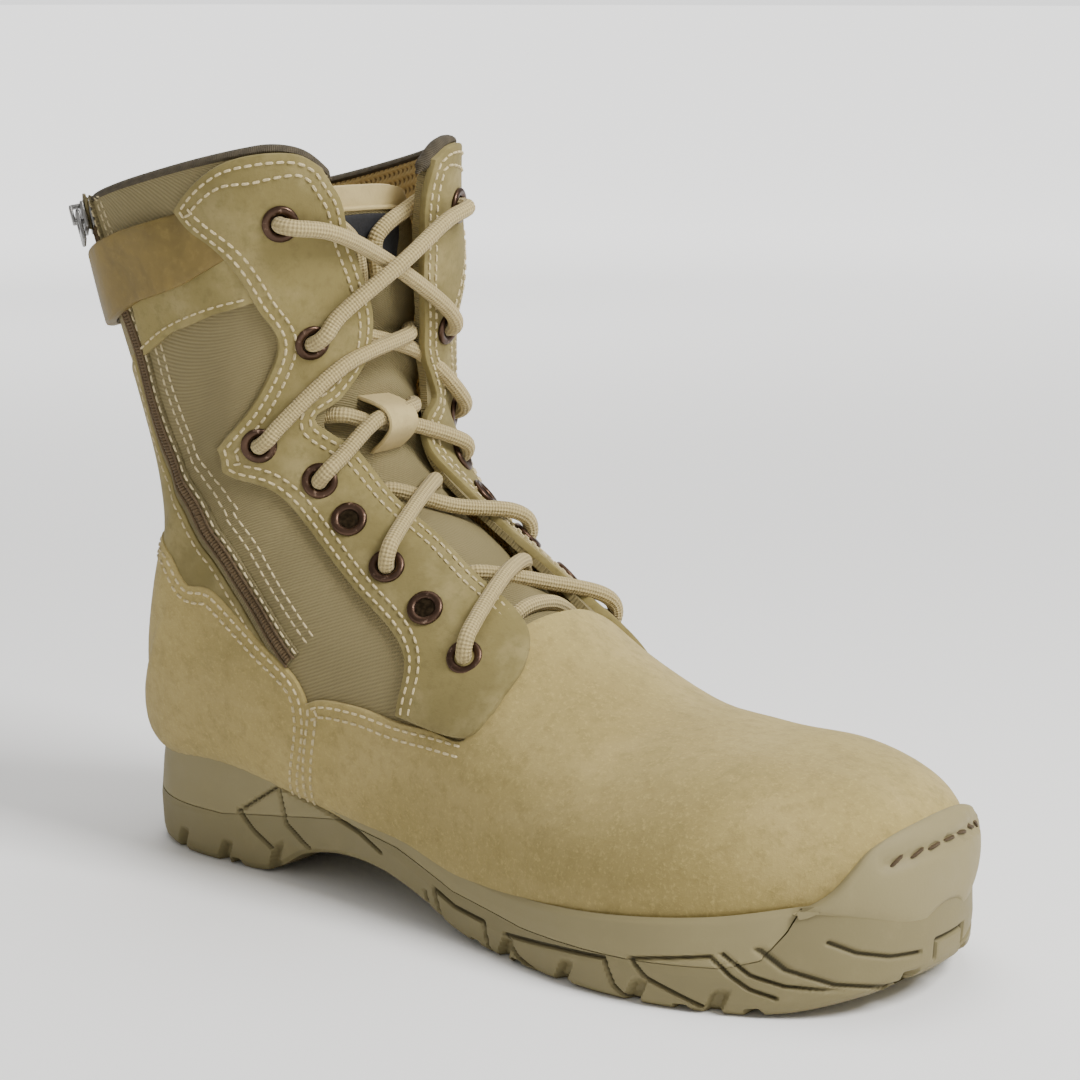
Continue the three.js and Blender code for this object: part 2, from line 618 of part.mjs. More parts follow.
function zipSlider(frame) {
  const { clear } = SLIDER_AT;
  const { wide, tall, thick } = SLIDER;
  const topFace = clear + thick;
  const bridgeTop = topFace + BRIDGE.space;
  const foot = (BRIDGE.tall - 1) / 2;
  return boxAt(frame, [wide, thick, tall], [0, clear + thick / 2, 0])
    .add(boxAt(frame, [BRIDGE.wide, BRIDGE.thick, BRIDGE.tall], [0, bridgeTop + BRIDGE.thick / 2, PIVOT.up]))
    .add(boxAt(frame, [BRIDGE.wide, BRIDGE.space + 0.8, 1], [0, topFace + BRIDGE.space / 2, PIVOT.up + foot]))
    .add(boxAt(frame, [BRIDGE.wide, BRIDGE.space + 0.8, 1], [0, topFace + BRIDGE.space / 2, PIVOT.up - foot]));
}

function zipPull(frame) {
  const { wide, long, thick, window, arm } = PULL;
  const centre = [0, PIVOT.out, PIVOT.up + thick / 2 - long / 2];
  const hole = [wide - 2 * arm, thick * 3, window];
  return boxAt(frame, [wide, thick, long], centre)
    .subtract(boxAt(frame, hole, [0, PIVOT.out, PIVOT.up - thick / 2 - window / 2]));
}

// ---- laces ----
const LACE = 4.8;
const LACE_SIDES = 8;

function laceTube(points, steps) {
  const curve = new THREE.CatmullRomCurve3(points, false, 'centripetal');
  const shape = new THREE.Shape();
  for (let k = 0; k < LACE_SIDES; k += 1) {
    const angle = (2 * Math.PI * (k + 0.5)) / LACE_SIDES;
    const [x, y] = [(LACE / 2) * Math.cos(angle), (LACE / 2) * Math.sin(angle)];
    if (k === 0) shape.moveTo(x, y);
    else shape.lineTo(x, y);
  }
  const geometry = new THREE.ExtrudeGeometry(shape, { steps, bevelEnabled: false, extrudePath: curve });
  return manifold(geometry);
}

const lift = (s, mm, d) => offset(s, mm / girth(s, mm < 0 ? INNER : OUTER), d);
const OVER = 5;             // lace centre above the leather where it leaves an eyelet
const RIDE = 3.4;           // lace centre above a facing edge

// Visible crossings. A strand leaves the eyelet of one row and ends over the facing
// opposite, at station s and mm from the ridge, where it turns under.
const CROSSINGS = [
  { name: 'lace_cross_1', row: 2, s: 0.925, inner: 36, outer: 28, high: OVER },
  { name: 'lace_cross_2', row: 3, s: 0.748, inner: 9, outer: 16, high: RIDE },
  { name: 'lace_cross_4', row: 6, s: 0.57, inner: 11, outer: 16, high: RIDE },
  { name: 'lace_cross_5', row: 8, s: 0.465, inner: 13, outer: 21, high: RIDE },
];
const LOOP = { s: 0.637, wide: 12, tall: 14.5, thick: 1.3, low: -1.2, high: 6.8 };
const LOOP_STRANDS = { row: 4, s: 0.664, inner: 21, outer: 21, low: 2.8 };
const BAR = { s: 0.416, inner: -11, outer: 16.5, low: -0.5 };

function strand(from, to, middle, steps) {
  return laceTube([lift(...from), lift(...middle), lift(...to)], steps);
}

function crossing({ row, s, inner, outer, high }) {
  const hole = EYELETS[row - 1];
  const half = (hole.s + s) / 2;
  const toOuter = strand([hole.s, -hole.inner, OVER], [s, outer, high], [half, (outer - hole.inner) / 2, OVER], 5);
  const toInner = strand([hole.s, hole.outer, OVER], [s, -inner, high], [half, (hole.outer - inner) / 2, OVER], 5);
  return toOuter.add(toInner);
}

function loopCrossing() {
  const { row, s, inner, outer, low } = LOOP_STRANDS;
  const hole = EYELETS[row - 1];
  const side = (from, to) => laceTube([
    lift(hole.s, from, OVER),
    lift(lerp(hole.s, LOOP.s, 0.75), from * 0.5, 3.4),
    lift(LOOP.s, 0, low),
    lift(lerp(LOOP.s, s, 0.45), to * 0.45, 2.6),
    lift(s, to * 0.72, 1.6),
  ], 7);
  return side(-hole.inner, outer).add(side(hole.outer, -inner));
}

// Lace ends, from behind the top eyelets down between facing and tongue. Each point gives
// s, mm from the ridge and how deep the lace centre lies below the wall.
const TAILS = [
  { name: 'lace_tail_inner', route: [
    [0.928, -32, 3.4], [0.915, -25, 3.4], [0.897, -18, 3.4], [0.879, -12, 3.4], [0.86, -7.4, 3.4],
    [0.84, -5.6, 3.2], [0.82, -5, 2.6], [0.8, -5, 2.2],
  ] },
  { name: 'lace_tail_outer', route: [
    [0.93, 26, 3.4], [0.915, 19, 3.4], [0.897, 12, 3.4], [0.88, 5.5, 3.4], [0.862, 1.4, 3.4],
    [0.842, 1, 3.2], [0.822, 1.4, 2.6], [0.802, 2, 2.2],
  ] },
];

// ---- tongue and insole ----
const TONGUE = [
  { s: 0.365, inner: 22, outer: 25 },
  { s: 0.5, inner: 28, outer: 30 },
  { s: 0.7, inner: 33, outer: 33 },
  { s: 0.85, inner: 34, outer: 34 },
  { s: 0.93, inner: 33, outer: 33 },
];
const TONGUE_THICK = 4.2;
const tongueTop = (s) => -(wallAt(s) + 1 + 6.4 * smooth(0.66, 0.86, s));
const INSOLE_THICK = 4;
const INSOLE_INSET = 5.5;

function insoleSolid() {
  const count = 26;
  const front = TOE_Y + INSOLE_INSET;
  const rear = HEEL_Y - INSOLE_INSET;
  const ring = (up, inset) => Array.from({ length: 2 * count }, (_, k) => {
    const angle = (Math.PI * k) / count;
    const y = lerp(front, rear, (1 - Math.cos(angle)) / 2);
    const side = k <= count ? OUTER : INNER;
    return new THREE.Vector3(side * plan(y, side, -inset), y, footbedAt(y) + GAP + up);
  });
  const [low, high] = [ring(0, INSOLE_INSET), ring(INSOLE_THICK, INSOLE_INSET)];
  const n = 2 * count;
  const faces = [];
  for (let k = 0; k < n; k += 1) faces.push([low[k], low[(k + 1) % n], high[(k + 1) % n], high[k]]);
  for (let k = 0; k < count; k += 1) {
    const [a, b, c, d] = [k, k + 1, (n - k - 1) % n, (n - k) % n];
    faces.push([high[a], high[b], high[c], high[d]]);
    faces.push([low[d], low[c], low[b], low[a]]);
  }
  return solidFrom(faces);
}

function tongueLoop() {
  const { s, wide, tall, thick, low, high } = LOOP;
  const place = frameAt(s, 0);
  const height = high - low;
  const centre = (high + low) / 2;
  const at = place.clone().multiply(new THREE.Matrix4().makeTranslation(0, 0, centre));
  return boxSolid(wide, tall, height, at)
    .subtract(boxSolid(wide * 2, tall - 2 * thick, height - 2 * thick, at));
}

const LOOKS = {
  suede: { color: 0xb7a678, roughness: 0.95, metalness: 0 },
  rubber: { color: 0x8f8762, roughness: 0.8, metalness: 0 },
  foam: { color: 0xa39a70, roughness: 0.85, metalness: 0 },
  fabric: { color: 0x9c8a5c, roughness: 0.95, metalness: 0 },
  lace: { color: 0xb8a880, roughness: 0.9, metalness: 0 },
  brass: { color: 0x5a4030, roughness: 0.45, metalness: 0.9 },
  leather: { color: 0x8c7342, roughness: 0.8, metalness: 0 },
  steel: { color: 0x8a8a88, roughness: 0.35, metalness: 1 },
};

const group = new THREE.Group();
const add = (name, solid, look) => group.add(meshOf(name, solid, LOOKS[look]));

// Sole unit.
const fitForm = form(GAP);
const bumper = form(BUMPER).intersect(sideCurtain([[-300, 8], [-226, 8], [-226, 60], [-300, 60]], -90, 90));
let cup = soleBlock().add(bumper);
for (const cut of treadCuts()) cup = cup.subtract(cut);
cup = cup.subtract(fitForm);
add('outsole', cup.intersect(belowSeam(0)), 'rubber');
add('midsole', cup.subtract(belowSeam(GAP)), 'foam');

// Upper with its throat and eyelet holes.
const throatRows = Array.from({ length: 19 }, (_, k) => rowAt(THROAT, lerp(0.395, 1, k / 18)));
throatRows.push({ ...throatRows[18], lift: 12 });
const innerTrim = form(GAP / 3, 0);
let upper = upperShell().intersect(innerTrim).subtract(block(throatRows, 4, (s) => -wallAt(s) - 6, () => 8));
EYELETS.forEach((row, k) => {
  for (const side of [INNER, OUTER]) {
    const wall = wallAt(row.s);
    const place = frameAt(row.s, side === INNER ? -row.inner : row.outer);
    const hole = eyeletHole(wall);
    hole.applyMatrix4(place);
    upper = upper.subtract(manifold(hole));
    const ring = eyeletRing(wall);
    ring.applyMatrix4(place);
    add(`eyelet_${side === INNER ? 'inner' : 'outer'}_${k + 1}`, manifold(ring), 'brass');
  }
});
add('upper', upper, 'suede');

add('zip_chain', overlay(bandOutline(ZIP_LINE, ZIP_WIDTH), GAP, GAP + ZIP_THICK), 'leather');
add('strap', overlay(STRAP_OUTLINE, STRAP_LOW, STRAP_HIGH), 'leather');
add('strap_base', overlay(STRAP_BASE, GAP, 1.8).subtract(
  sideCurtain(bandOutline(ZIP_LINE, ZIP_WIDTH + 1), -90, -18)), 'leather');

const sliderPlace = sliderFrame();
add('zip_slider', zipSlider(sliderPlace), 'steel');
add('zip_pull', zipPull(sliderPlace), 'steel');

const tongueRows = Array.from({ length: 15 }, (_, k) => rowAt(TONGUE, lerp(0.365, 0.93, k / 14)));
add('tongue', block(tongueRows, 6, (s) => tongueTop(s) - TONGUE_THICK, tongueTop), 'fabric');
add('tongue_loop', tongueLoop(), 'leather');
add('insole', insoleSolid(), 'fabric');
for (const row of CROSSINGS) add(row.name, crossing(row), 'lace');
add('lace_cross_3', loopCrossing(), 'lace');
add('lace_bar', laceTube([-1, 0, 1].map((k) => lift(
  BAR.s,
  k < 0 ? BAR.inner : k * BAR.outer,
  BAR.low,
)), 6), 'lace');
for (const { name, route } of TAILS) {
  const points = route.map(([s, mm, depth]) => lift(s, mm, -wallAt(s) - depth));
  add(name, laceTube(points, 9), 'lace');
}

export default group;
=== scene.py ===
import math

import bmesh
import bpy
import numpy as np
from bpy.props import FloatProperty, FloatVectorProperty, PointerProperty
from mathutils import Matrix, Vector
from mathutils.geometry import delaunay_2d_cdt
from mathutils.kdtree import KDTree


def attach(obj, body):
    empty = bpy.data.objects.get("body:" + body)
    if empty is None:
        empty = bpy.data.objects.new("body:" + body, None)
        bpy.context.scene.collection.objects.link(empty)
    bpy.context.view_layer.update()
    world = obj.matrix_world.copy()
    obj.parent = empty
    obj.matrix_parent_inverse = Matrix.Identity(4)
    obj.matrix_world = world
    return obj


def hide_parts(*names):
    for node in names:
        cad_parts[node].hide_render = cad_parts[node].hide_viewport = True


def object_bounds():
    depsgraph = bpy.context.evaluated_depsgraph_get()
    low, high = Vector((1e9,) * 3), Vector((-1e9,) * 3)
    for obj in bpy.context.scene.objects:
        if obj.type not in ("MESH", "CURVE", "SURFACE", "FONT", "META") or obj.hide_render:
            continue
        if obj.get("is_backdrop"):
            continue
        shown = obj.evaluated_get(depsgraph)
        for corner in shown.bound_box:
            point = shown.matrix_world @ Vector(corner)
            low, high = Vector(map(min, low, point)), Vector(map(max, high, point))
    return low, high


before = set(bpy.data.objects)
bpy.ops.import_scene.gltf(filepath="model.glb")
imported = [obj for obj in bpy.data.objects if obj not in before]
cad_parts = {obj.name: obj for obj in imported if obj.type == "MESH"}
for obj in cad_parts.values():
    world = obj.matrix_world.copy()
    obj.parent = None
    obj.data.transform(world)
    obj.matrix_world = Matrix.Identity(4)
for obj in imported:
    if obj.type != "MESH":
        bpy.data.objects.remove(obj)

bl_info = {
    "name": "Lace-up combat boot",
    "version": (1, 0, 0),
    "blender": (4, 5, 0),
    "location": "3D View > Sidebar > Boot",
    "description": "Builds the leather, nylon, rubber and lace of a left combat boot round its CAD frame",
    "category": "Add Mesh",
}

CAD_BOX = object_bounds()
BODY = "boot"
MM = 0.001
INNER, OUTER = -1, 1

# ---- the last: tables and functions as in the CAD source, in millimetres ----
WALL, COLLAR_WALL = 2.4, 4.2
TOE_Y, HEEL_Y = -259.0, 13.0
TOE_ROUND, HEEL_ROUND = 78.0, 36.0

PLAN_Y = [-259, -230, -203, -175, -145, -115, -85, -55, -25, -5, 13]
PLAN_HALF = {
    INNER: [47, 48, 50, 49, 43, 37, 33, 31, 31, 31, 31],
    OUTER: [53, 57, 59.5, 56, 50, 46, 43, 40, 37, 35, 35],
}

# Toe to collar: ridge y, z, base y, z, inner and outer swell, ridge x, base x, belly,
# front and back roundness, twist.
SECTIONS = np.array([
    (-259, 23, -259, 21, 0, 0, 1, 0, 0.4, 2.2, 2.2, 0),
    (-260.5, 31, -256, 19.5, 1, 1, 1, 0, 0.4, 2.2, 2.2, 0),
    (-260, 41, -249, 18, 1, 1, 1, 0, 0.4, 2.2, 2.2, 0),
    (-254, 50.5, -239, 16, 1, 1, 1, 0, 0.38, 2.2, 2.2, 0),
    (-241, 57, -224, 13.5, 1, 1, 1, 0, 0.36, 2.2, 2.2, 0),
    (-219, 61, -204, 11, 1, 1, 1, 0, 0.34, 2.2, 2.2, 0),
    (-194, 61.5, -181, 9.5, 1, 1, 1, 0, 0.32, 2.1, 2.2, 0),
    (-170, 65.5, -156, 10, 2, 1, 1, 0, 0.32, 2.1, 2.2, 0),
    (-148, 76, -130, 12.5, 3, 2, 0, 0, 0.32, 2.1, 2.2, 1),
    (-129, 89, -104, 17, 4, 3, -1, 0, 0.34, 2.1, 2.2, 2),
    (-111, 100, -79, 23.5, 7, 6, -1, 0, 0.38, 2.1, 2.2, 4),
    (-96, 109, -56, 28, 9, 10, -2, 0, 0.42, 2.1, 2.2, 6),
    (-84, 118, -34, 30.5, 11, 12, -3, 1, 0.45, 2.1, 2.2, 7),
    (-75, 128, -14, 31, 11, 13, -3, 1, 0.48, 2.1, 2.2, 8),
    (-70, 139, 1, 31, 11, 13, -4, 1, 0.5, 2.2, 2.1, 8),
    (-69, 150, 10.5, 31.5, 11, 11, -5, 1, 0.5, 2.2, 2.1, 8),
    (-70.5, 161, 12.5, 39, 11, 10, -6, 1, 0.5, 2.3, 2.1, 8),
    (-73, 172, 9, 56, 11, 8, -7, 0, 0.5, 2.4, 2.1, 8),
    (-75, 183, 1, 80, 12, 8, -9, 0, 0.5, 2.5, 2.1, 8),
    (-77, 193, -1, 106, 13, 7, -10, -3, 0.5, 2.6, 2.1, 8),
    (-79, 203, 4, 135, 14.5, 6, -11, -6, 0.5, 2.7, 2.1, 8),
    (-80.5, 213, 11, 166, 16, 6, -12, -9, 0.5, 2.7, 2.2, 8),
    (-82, 224, 19, 199, 17, 6, -12, -11, 0.5, 2.7, 2.2, 8),
])
SEAM_START = 0.70            # station where the featherline turns up into the back seam

THROAT_S = [0.395, 0.405, 0.43, 0.47, 0.53, 0.585, 0.62, 0.655, 0.69, 0.73, 0.78, 0.83, 0.88,
            0.93, 0.965, 0.99, 1]
THROAT_MM = {
    INNER: [12, 15, 15, 12, 10, 9.5, 14, 20, 16, 8, 6.5, 10, 14, 18, 22, 30, 39],
    OUTER: [15, 20, 22, 21, 18, 13, 14, 19, 20, 16, 14.5, 13.5, 12, 12.5, 15, 21, 29],
}
EYELET_S = [0.925, 0.775, 0.704, 0.604, 0.551, 0.496, 0.452, 0.412]
EYELET_MM = {
    INNER: [37, 27, 46, 27.5, 26, 27.5, 29.5, 32],
    OUTER: [29, 28, 44.5, 29, 29, 31.5, 34.5, 39],
}
SIDE_NAME = {INNER: "inner", OUTER: "outer"}

# Upper edge of the sole band. Round the heel it is lower than the CAD's.
LIP_Y = [-270, -244, -222, -200, -178, -156, -136, -118, -100, -80, -60, -40, -20, 0, 11, 20]
LIP_Z = [33, 31, 26.5, 23.5, 21, 19.5, 20.5, 25, 32, 38, 39.5, 38, 36, 33.8, 34.4, 41]
TREAD_Y = [-268, -254, -240, -226, -212, -190, -168, -150, -132, -114, -96, -78, -62, -50, -40,
           -20, 0, 10, 20]
TREAD_Z = [11, 5.5, 1.5, 0, 0, 0, 0, 0, 2, 8, 12, 12.5, 9, 2, 0, 0, 0, 0, 3]


def smooth(lo, hi, v):
    t = np.clip((np.asarray(v, float) - lo) / (hi - lo), 0, 1)
    return t * t * (3 - 2 * t)


def lerp(a, b, t):
    return a + (b - a) * t


def through(values, t):
    """Smooth curve through equally spaced values, at t from 0 to 1."""
    values = np.asarray(values, float)
    x = np.clip(np.asarray(t, float), 0, 1) * (len(values) - 1)
    i = np.minimum(np.floor(x).astype(int), len(values) - 2)
    f = (x - i).reshape(x.shape + (1,) * (values.ndim - 1))
    a, b, c, d = (values[np.clip(i + k, 0, len(values) - 1)] for k in (-1, 0, 1, 2))
    return b + 0.5 * f * (c - a + f * (2 * a - 5 * b + 4 * c - d + f * (3 * (b - c) + d - a)))


def column(keys, values, v):
    """Smooth column of a table against its key column."""
    keys = np.asarray(keys, float)
    v = np.asarray(v, float)
    i = np.clip(np.searchsorted(keys, v) - 1, 0, len(keys) - 2)
    f = np.clip((v - keys[i]) / (keys[i + 1] - keys[i]), 0, 1)
    return through(values, (i + f) / (len(keys) - 1))


def plan(y, side, grow=0.0):
    """Half width of the featherline at y, moved outwards by grow."""
    y = np.asarray(y, float)
    toe = np.clip((y - (TOE_Y - grow)) / (TOE_ROUND + grow), 0, 1)
    heel = np.clip((HEEL_Y + grow - y) / (HEEL_ROUND + grow), 0, 1)
    half = column(PLAN_Y, PLAN_HALF[side], y) + grow
    for end in (toe, heel):
        half = half * (1 - (1 - end) ** 2.2) ** (1 / 2.2)
    return half


def tread_at(y):
    return np.maximum(0, column(TREAD_Y, TREAD_Z, y))


def lip_at(y):
    return column(LIP_Y, LIP_Z, y)


def footbed_at(y):
    return column(SECTIONS[:16, 2], SECTIONS[:16, 3], y)


def wall_at(s):
    """Thickness of the upper in mm."""
    return lerp(WALL, COLLAR_WALL, smooth(0.62, 0.9, s))


def unit(v):
    return v / np.maximum(np.linalg.norm(v, axis=-1, keepdims=True), 1e-12)


def run_along(points):
    """Distance along a line of points up to each of them."""
    return np.concatenate([[0], np.cumsum(np.linalg.norm(np.diff(points, axis=0), axis=1))])


def resample(points, run, want):
    """The points of a line at the wanted distances along it."""
    return np.stack([np.interp(want, run, values) for values in points.T], axis=1)


def hermite(points, lengths, count):
    """Smooth curve through points, with knots at the roots of the given lengths between them."""
    knots = np.concatenate([[0], np.cumsum(np.sqrt(np.maximum(lengths, 1e-9)))])
    tangent = np.gradient(points, knots, axis=0)
    t = np.linspace(0, knots[-1], count)
    i = np.clip(np.searchsorted(knots, t) - 1, 0, len(knots) - 2)
    h = (knots[i + 1] - knots[i])[:, None]
    f = (t - knots[i])[:, None] / h
    return ((2 * f ** 3 - 3 * f ** 2 + 1) * points[i] + (f ** 3 - 2 * f ** 2 + f) * h * tangent[i]
            + (3 * f ** 2 - 2 * f ** 3) * points[i + 1] + (f ** 3 - f ** 2) * h * tangent[i + 1])


class Last:
    """The foot form as a fine grid: stations s from 0 at the toe to 1 at the collar, and
    places in mm along each section from the ridge, minus inwards and plus outwards."""

    STATIONS = 441
    PLACES = 161
    DENSE = 96

    def __init__(self):
        s = np.linspace(0, 1, self.STATIONS)
        rows = through(SECTIONS, s)
        sides = {}
        self.girth = {}
        for side in (INNER, OUTER):
            points = self.half_sections(rows, s, side)
            step = np.linalg.norm(np.diff(points, axis=1), axis=2)
            length = np.concatenate([np.zeros((len(s), 1)), np.cumsum(step, axis=1)], axis=1)
            self.girth[side] = length[:, -1]
            even = np.empty((len(s), self.PLACES, 3))
            for i in range(len(s)):
                want = np.linspace(0, length[i, -1], self.PLACES)
                for k in range(3):
                    even[i, :, k] = np.interp(want, length[i], points[i, :, k])
            sides[side] = even
        self.point = np.concatenate([sides[INNER][:, ::-1], sides[OUTER][:, 1:]], axis=1)
        self.out = self.normals()

    @staticmethod
    def half_sections(rows, s, side):
        (ridge_y, ridge_z, base_y, base_z, inner, outer, ridge_x, base_x,
         belly, front, back, twist) = (c[:, None] for c in rows.T)
        belly_y = lerp(base_y, ridge_y, belly)
        swell = inner if side == INNER else outer
        half = plan(belly_y, side) + swell * smooth(0, 0.04, s)[:, None]
        foot = plan(base_y, side) * (1 - smooth(31.5, 34, base_z))
        angle = np.linspace(0, math.pi, Last.DENSE + 1)[None, :]
        sine = np.maximum(np.sin(angle), 0)
        cosine = np.abs(np.cos(angle))
        high = angle < math.pi / 2
        x = np.where(high, half * sine ** (2 / front), foot + (half - foot) * sine ** (2 / back))
        v = np.where(high, belly + (1 - belly) * cosine ** (2 / front), belly * (1 - cosine ** (2 / back)))
        lean = twist * side * x / 50
        return np.stack([
            lerp(base_x, ridge_x, v) + side * x,
            lerp(base_y, ridge_y, v) - lean,
            lerp(base_z, ridge_z, v),
        ], axis=2)

    def normals(self):
        """Outward directions at the grid's points, made even over the seam and the ridge."""
        n_s, n_a = self.point.shape[:2]
        i = np.arange(n_s)
        j = np.arange(n_a)
        mid = n_a // 2
        near, far = np.maximum(i - 2, 1), np.minimum(i + 2, n_s - 1)
        along = self.point[far] - self.point[near]
        across = self.point[:, np.minimum(j + 2, n_a - 1)] - self.point[:, np.maximum(j - 2, 0)]
        out = unit(np.cross(across, along))
        closed = np.linalg.norm(self.point[:, 0] - self.point[:, -1], axis=1) < 0.01
        seam = unit(out[:, 0] + out[:, -1])
        out[closed, 0] = seam[closed]
        out[closed, -1] = seam[closed]
        out[:2] = (0, -1, 0)
        out[2, :] = unit(out[2] + np.array([0, -1.0, 0]))
        out[:, mid] = unit(out[:, mid - 1] + out[:, mid + 1])
        return out

    def width(self, s, side):
        """Distance in mm along a section from the ridge to the featherline or back seam."""
        x = np.clip(s, 0, 1) * (self.STATIONS - 1)
        return np.interp(x, np.arange(self.STATIONS), self.girth[side])

    def sample(self, grid, s, mm):
        s = np.clip(np.asarray(s, float), 0, 1)
        mm = np.asarray(mm, float)
        inner, outer = self.width(s, INNER), self.width(s, OUTER)
        past_in = np.maximum(-mm - inner, 0)
        past_out = np.maximum(mm - outer, 0)
        mm = np.where(past_in > 0, outer - past_in, np.where(past_out > 0, past_out - inner, mm))
        a = np.where(mm < 0, mm / np.maximum(inner, 1e-6), mm / np.maximum(outer, 1e-6))
        x = s * (self.STATIONS - 1)
        y = (np.clip(a, -1, 1) + 1) * (self.PLACES - 1)
        i = np.minimum(x.astype(int), self.STATIONS - 2)
        j = np.minimum(y.astype(int), 2 * self.PLACES - 3)
        f, g = (x - i)[..., None], (y - j)[..., None]
        return ((grid[i, j] * (1 - g) + grid[i, j + 1] * g) * (1 - f)
                + (grid[i + 1, j] * (1 - g) + grid[i + 1, j + 1] * g) * f)

    def normal(self, s, mm):
        return unit(self.sample(self.out, s, mm))

    def at(self, s, mm, d=0.0):
        """Points d mm outside the last."""
        d = np.broadcast_to(np.asarray(d, float), np.shape(s))
        return self.sample(self.point, s, mm) + self.normal(s, mm) * d[..., None]

    def find(self, targets, axes, side, d=0.0, s_range=(0.02, 0.995)):
        """Stations and places whose points have the given coordinates in two axes."""
        targets = np.asarray(targets, float)
        rows = np.linspace(s_range[0], s_range[1], 90)
        share = np.linspace(0.02, 0.98, 40)
        s_all = np.repeat(rows, len(share))
        mm_all = side * np.tile(share, len(rows)) * self.width(s_all, side)
        cloud = self.at(s_all, mm_all, d)[:, axes]
        near = np.array([np.argmin(np.sum((cloud - t) ** 2, axis=1)) for t in targets])
        s, mm = s_all[near], mm_all[near]
        for _ in range(8):
            here = self.at(s, mm, d)[:, axes]
            ds = (self.at(s + 0.003, mm, d)[:, axes] - here) / 0.003
            dm = (self.at(s, mm + 0.5 * side, d)[:, axes] - here) / (0.5 * side)
            det = ds[:, 0] * dm[:, 1] - ds[:, 1] * dm[:, 0]
            det = np.where(np.abs(det) < 1e-9, 1e-9, det)
            e = targets - here
            step_s = (e[:, 0] * dm[:, 1] - e[:, 1] * dm[:, 0]) / det
            step_m = (ds[:, 0] * e[:, 1] - ds[:, 1] * e[:, 0]) / det
            s = np.clip(s + np.clip(step_s, -0.02, 0.02), 0.0, 1.0)
            mm = mm + np.clip(step_m, -6, 6)
            mm = side * np.clip(side * mm, 0.2, self.width(s, side))
        return np.stack([s, mm], axis=1)

    def side_view(self, targets, side):
        """(y, z) points seen from one side as (s, mm) places."""
        return self.find(targets, [1, 2], side)


LAST = Last()


# ---- outlines on the surface, as (s, mm) places ----
PLANE = 330.0                # mm that one unit of s stands for in the flat pattern


def spline(points, count):
    """Smooth curve through given places, spaced by their distance."""
    points = np.asarray(points, float)
    if len(points) == 2:
        return lerp(points[0], points[1], np.linspace(0, 1, count)[:, None])
    return hermite(points, np.linalg.norm(np.diff(points * (PLANE, 1), axis=0), axis=1), count)


def pairs(s, mm):
    """Places from stations and mm, one of which may be a single number."""
    return np.stack(np.broadcast_arrays(s, mm), axis=1)


def bare(places, d=0.0):
    """Points d mm above the last itself, without its relief."""
    return LAST.at(places[:, 0], places[:, 1], d)


def outward(places):
    return LAST.normal(places[:, 0], places[:, 1])


def even(places, step):
    """The same curve with points every step mm along the surface."""
    run = run_along(bare(places))
    count = max(2, int(round(run[-1] / step)) + 1)
    return resample(places, run, np.linspace(0, run[-1], count))


def loop_of(*runs):
    """Closed outline of (curve, step) runs that meet at corners, inside on its left."""
    return oriented(np.concatenate([even(curve, step)[:-1] for curve, step in runs]))


def edge_curve(side, s0, s1, count=40):
    """The featherline, or the back seam, of one side between two stations."""
    s = np.linspace(s0, s1, count)
    return pairs(s, side * LAST.width(s, side))


def surface_step(places, step):
    """Change of the surface point over a small (s, mm) step, per unit of that step."""
    step = np.array(step)
    return (bare(places + step) - bare(places - step)) / (2 * step.sum())


def moved(places, by, closed=False):
    """Curve moved sideways on the surface, to its left seen from outside; by in mm."""
    solid = bare(places)
    if closed:
        tangent = np.roll(solid, -1, axis=0) - np.roll(solid, 1, axis=0)
    else:
        tangent = np.gradient(solid, axis=0)
    side = unit(np.cross(outward(places), unit(tangent)))
    along, across = surface_step(places, (0.002, 0)), surface_step(places, (0, 0.6))
    a11, a12, a22, b1, b2 = (np.sum(first * second, axis=1) for first, second in (
        (along, along), (along, across), (across, across), (along, side * by), (across, side * by)))
    det = a11 * a22 - a12 * a12
    step = np.stack([(b1 * a22 - b2 * a12) / det, (a11 * b2 - a12 * b1) / det], axis=1)
    out = places + step
    out[:, 0] = np.clip(out[:, 0], 0, 1)
    return out


def inside(points, ring):
    """Even-odd test of points against a closed ring, both in the flat pattern."""
    x, y = points[:, 0][:, None], points[:, 1][:, None]
    x0, y0 = ring[:, 0][None], ring[:, 1][None]
    x1, y1 = np.roll(ring[:, 0], -1)[None], np.roll(ring[:, 1], -1)[None]
    crosses = (y0 > y) != (y1 > y)
    with np.errstate(divide="ignore", invalid="ignore"):
        at = x0 + (y - y0) * (x1 - x0) / (y1 - y0)
    return np.sum(crosses & (x < at), axis=1) % 2 == 1


def distance(points, line):
    """Least distance from each point to the points of a line."""
    tree = KDTree(len(line))
    for k, point in enumerate(line):
        tree.insert(point, k)
    tree.balance()
    return np.array([tree.find(point)[2] for point in points])


def fill(ring, inner):
    """Triangles inside a ring in the flat pattern. Returns points, triangles and, for each
    ring point, the number of the point it became."""
    edges = [(k, (k + 1) % len(ring)) for k in range(len(ring))]
    flat_points = [Vector(p) for p in np.concatenate([ring, inner])]
    co, _, faces, sources, _, _ = delaunay_2d_cdt(flat_points, edges, [], 1, 1e-5, True)
    rim = np.full(len(ring), -1)
    for k, source in enumerate(sources):
        for v in source:
            if v < len(ring):
                rim[v] = k
    if np.any(rim < 0):
        raise RuntimeError("an outline crosses itself")
    points = np.array([(c[0], c[1]) for c in co])
    triangles = np.array([tuple(f) for f in faces if len(f) == 3])
    triangles = triangles[inside(points[triangles].mean(axis=1), ring)]
    return points, triangles, rim


def spread_inside(ring, spread, gap, solid):
    """Spread places inside a ring and at least gap mm from it, in the flat pattern."""
    ring_flat = flat(ring)
    cloud = flat(spread)
    cloud = cloud[inside(cloud, ring_flat)]
    return cloud[distance(solid(unflat(cloud)), solid(ring)) > gap]


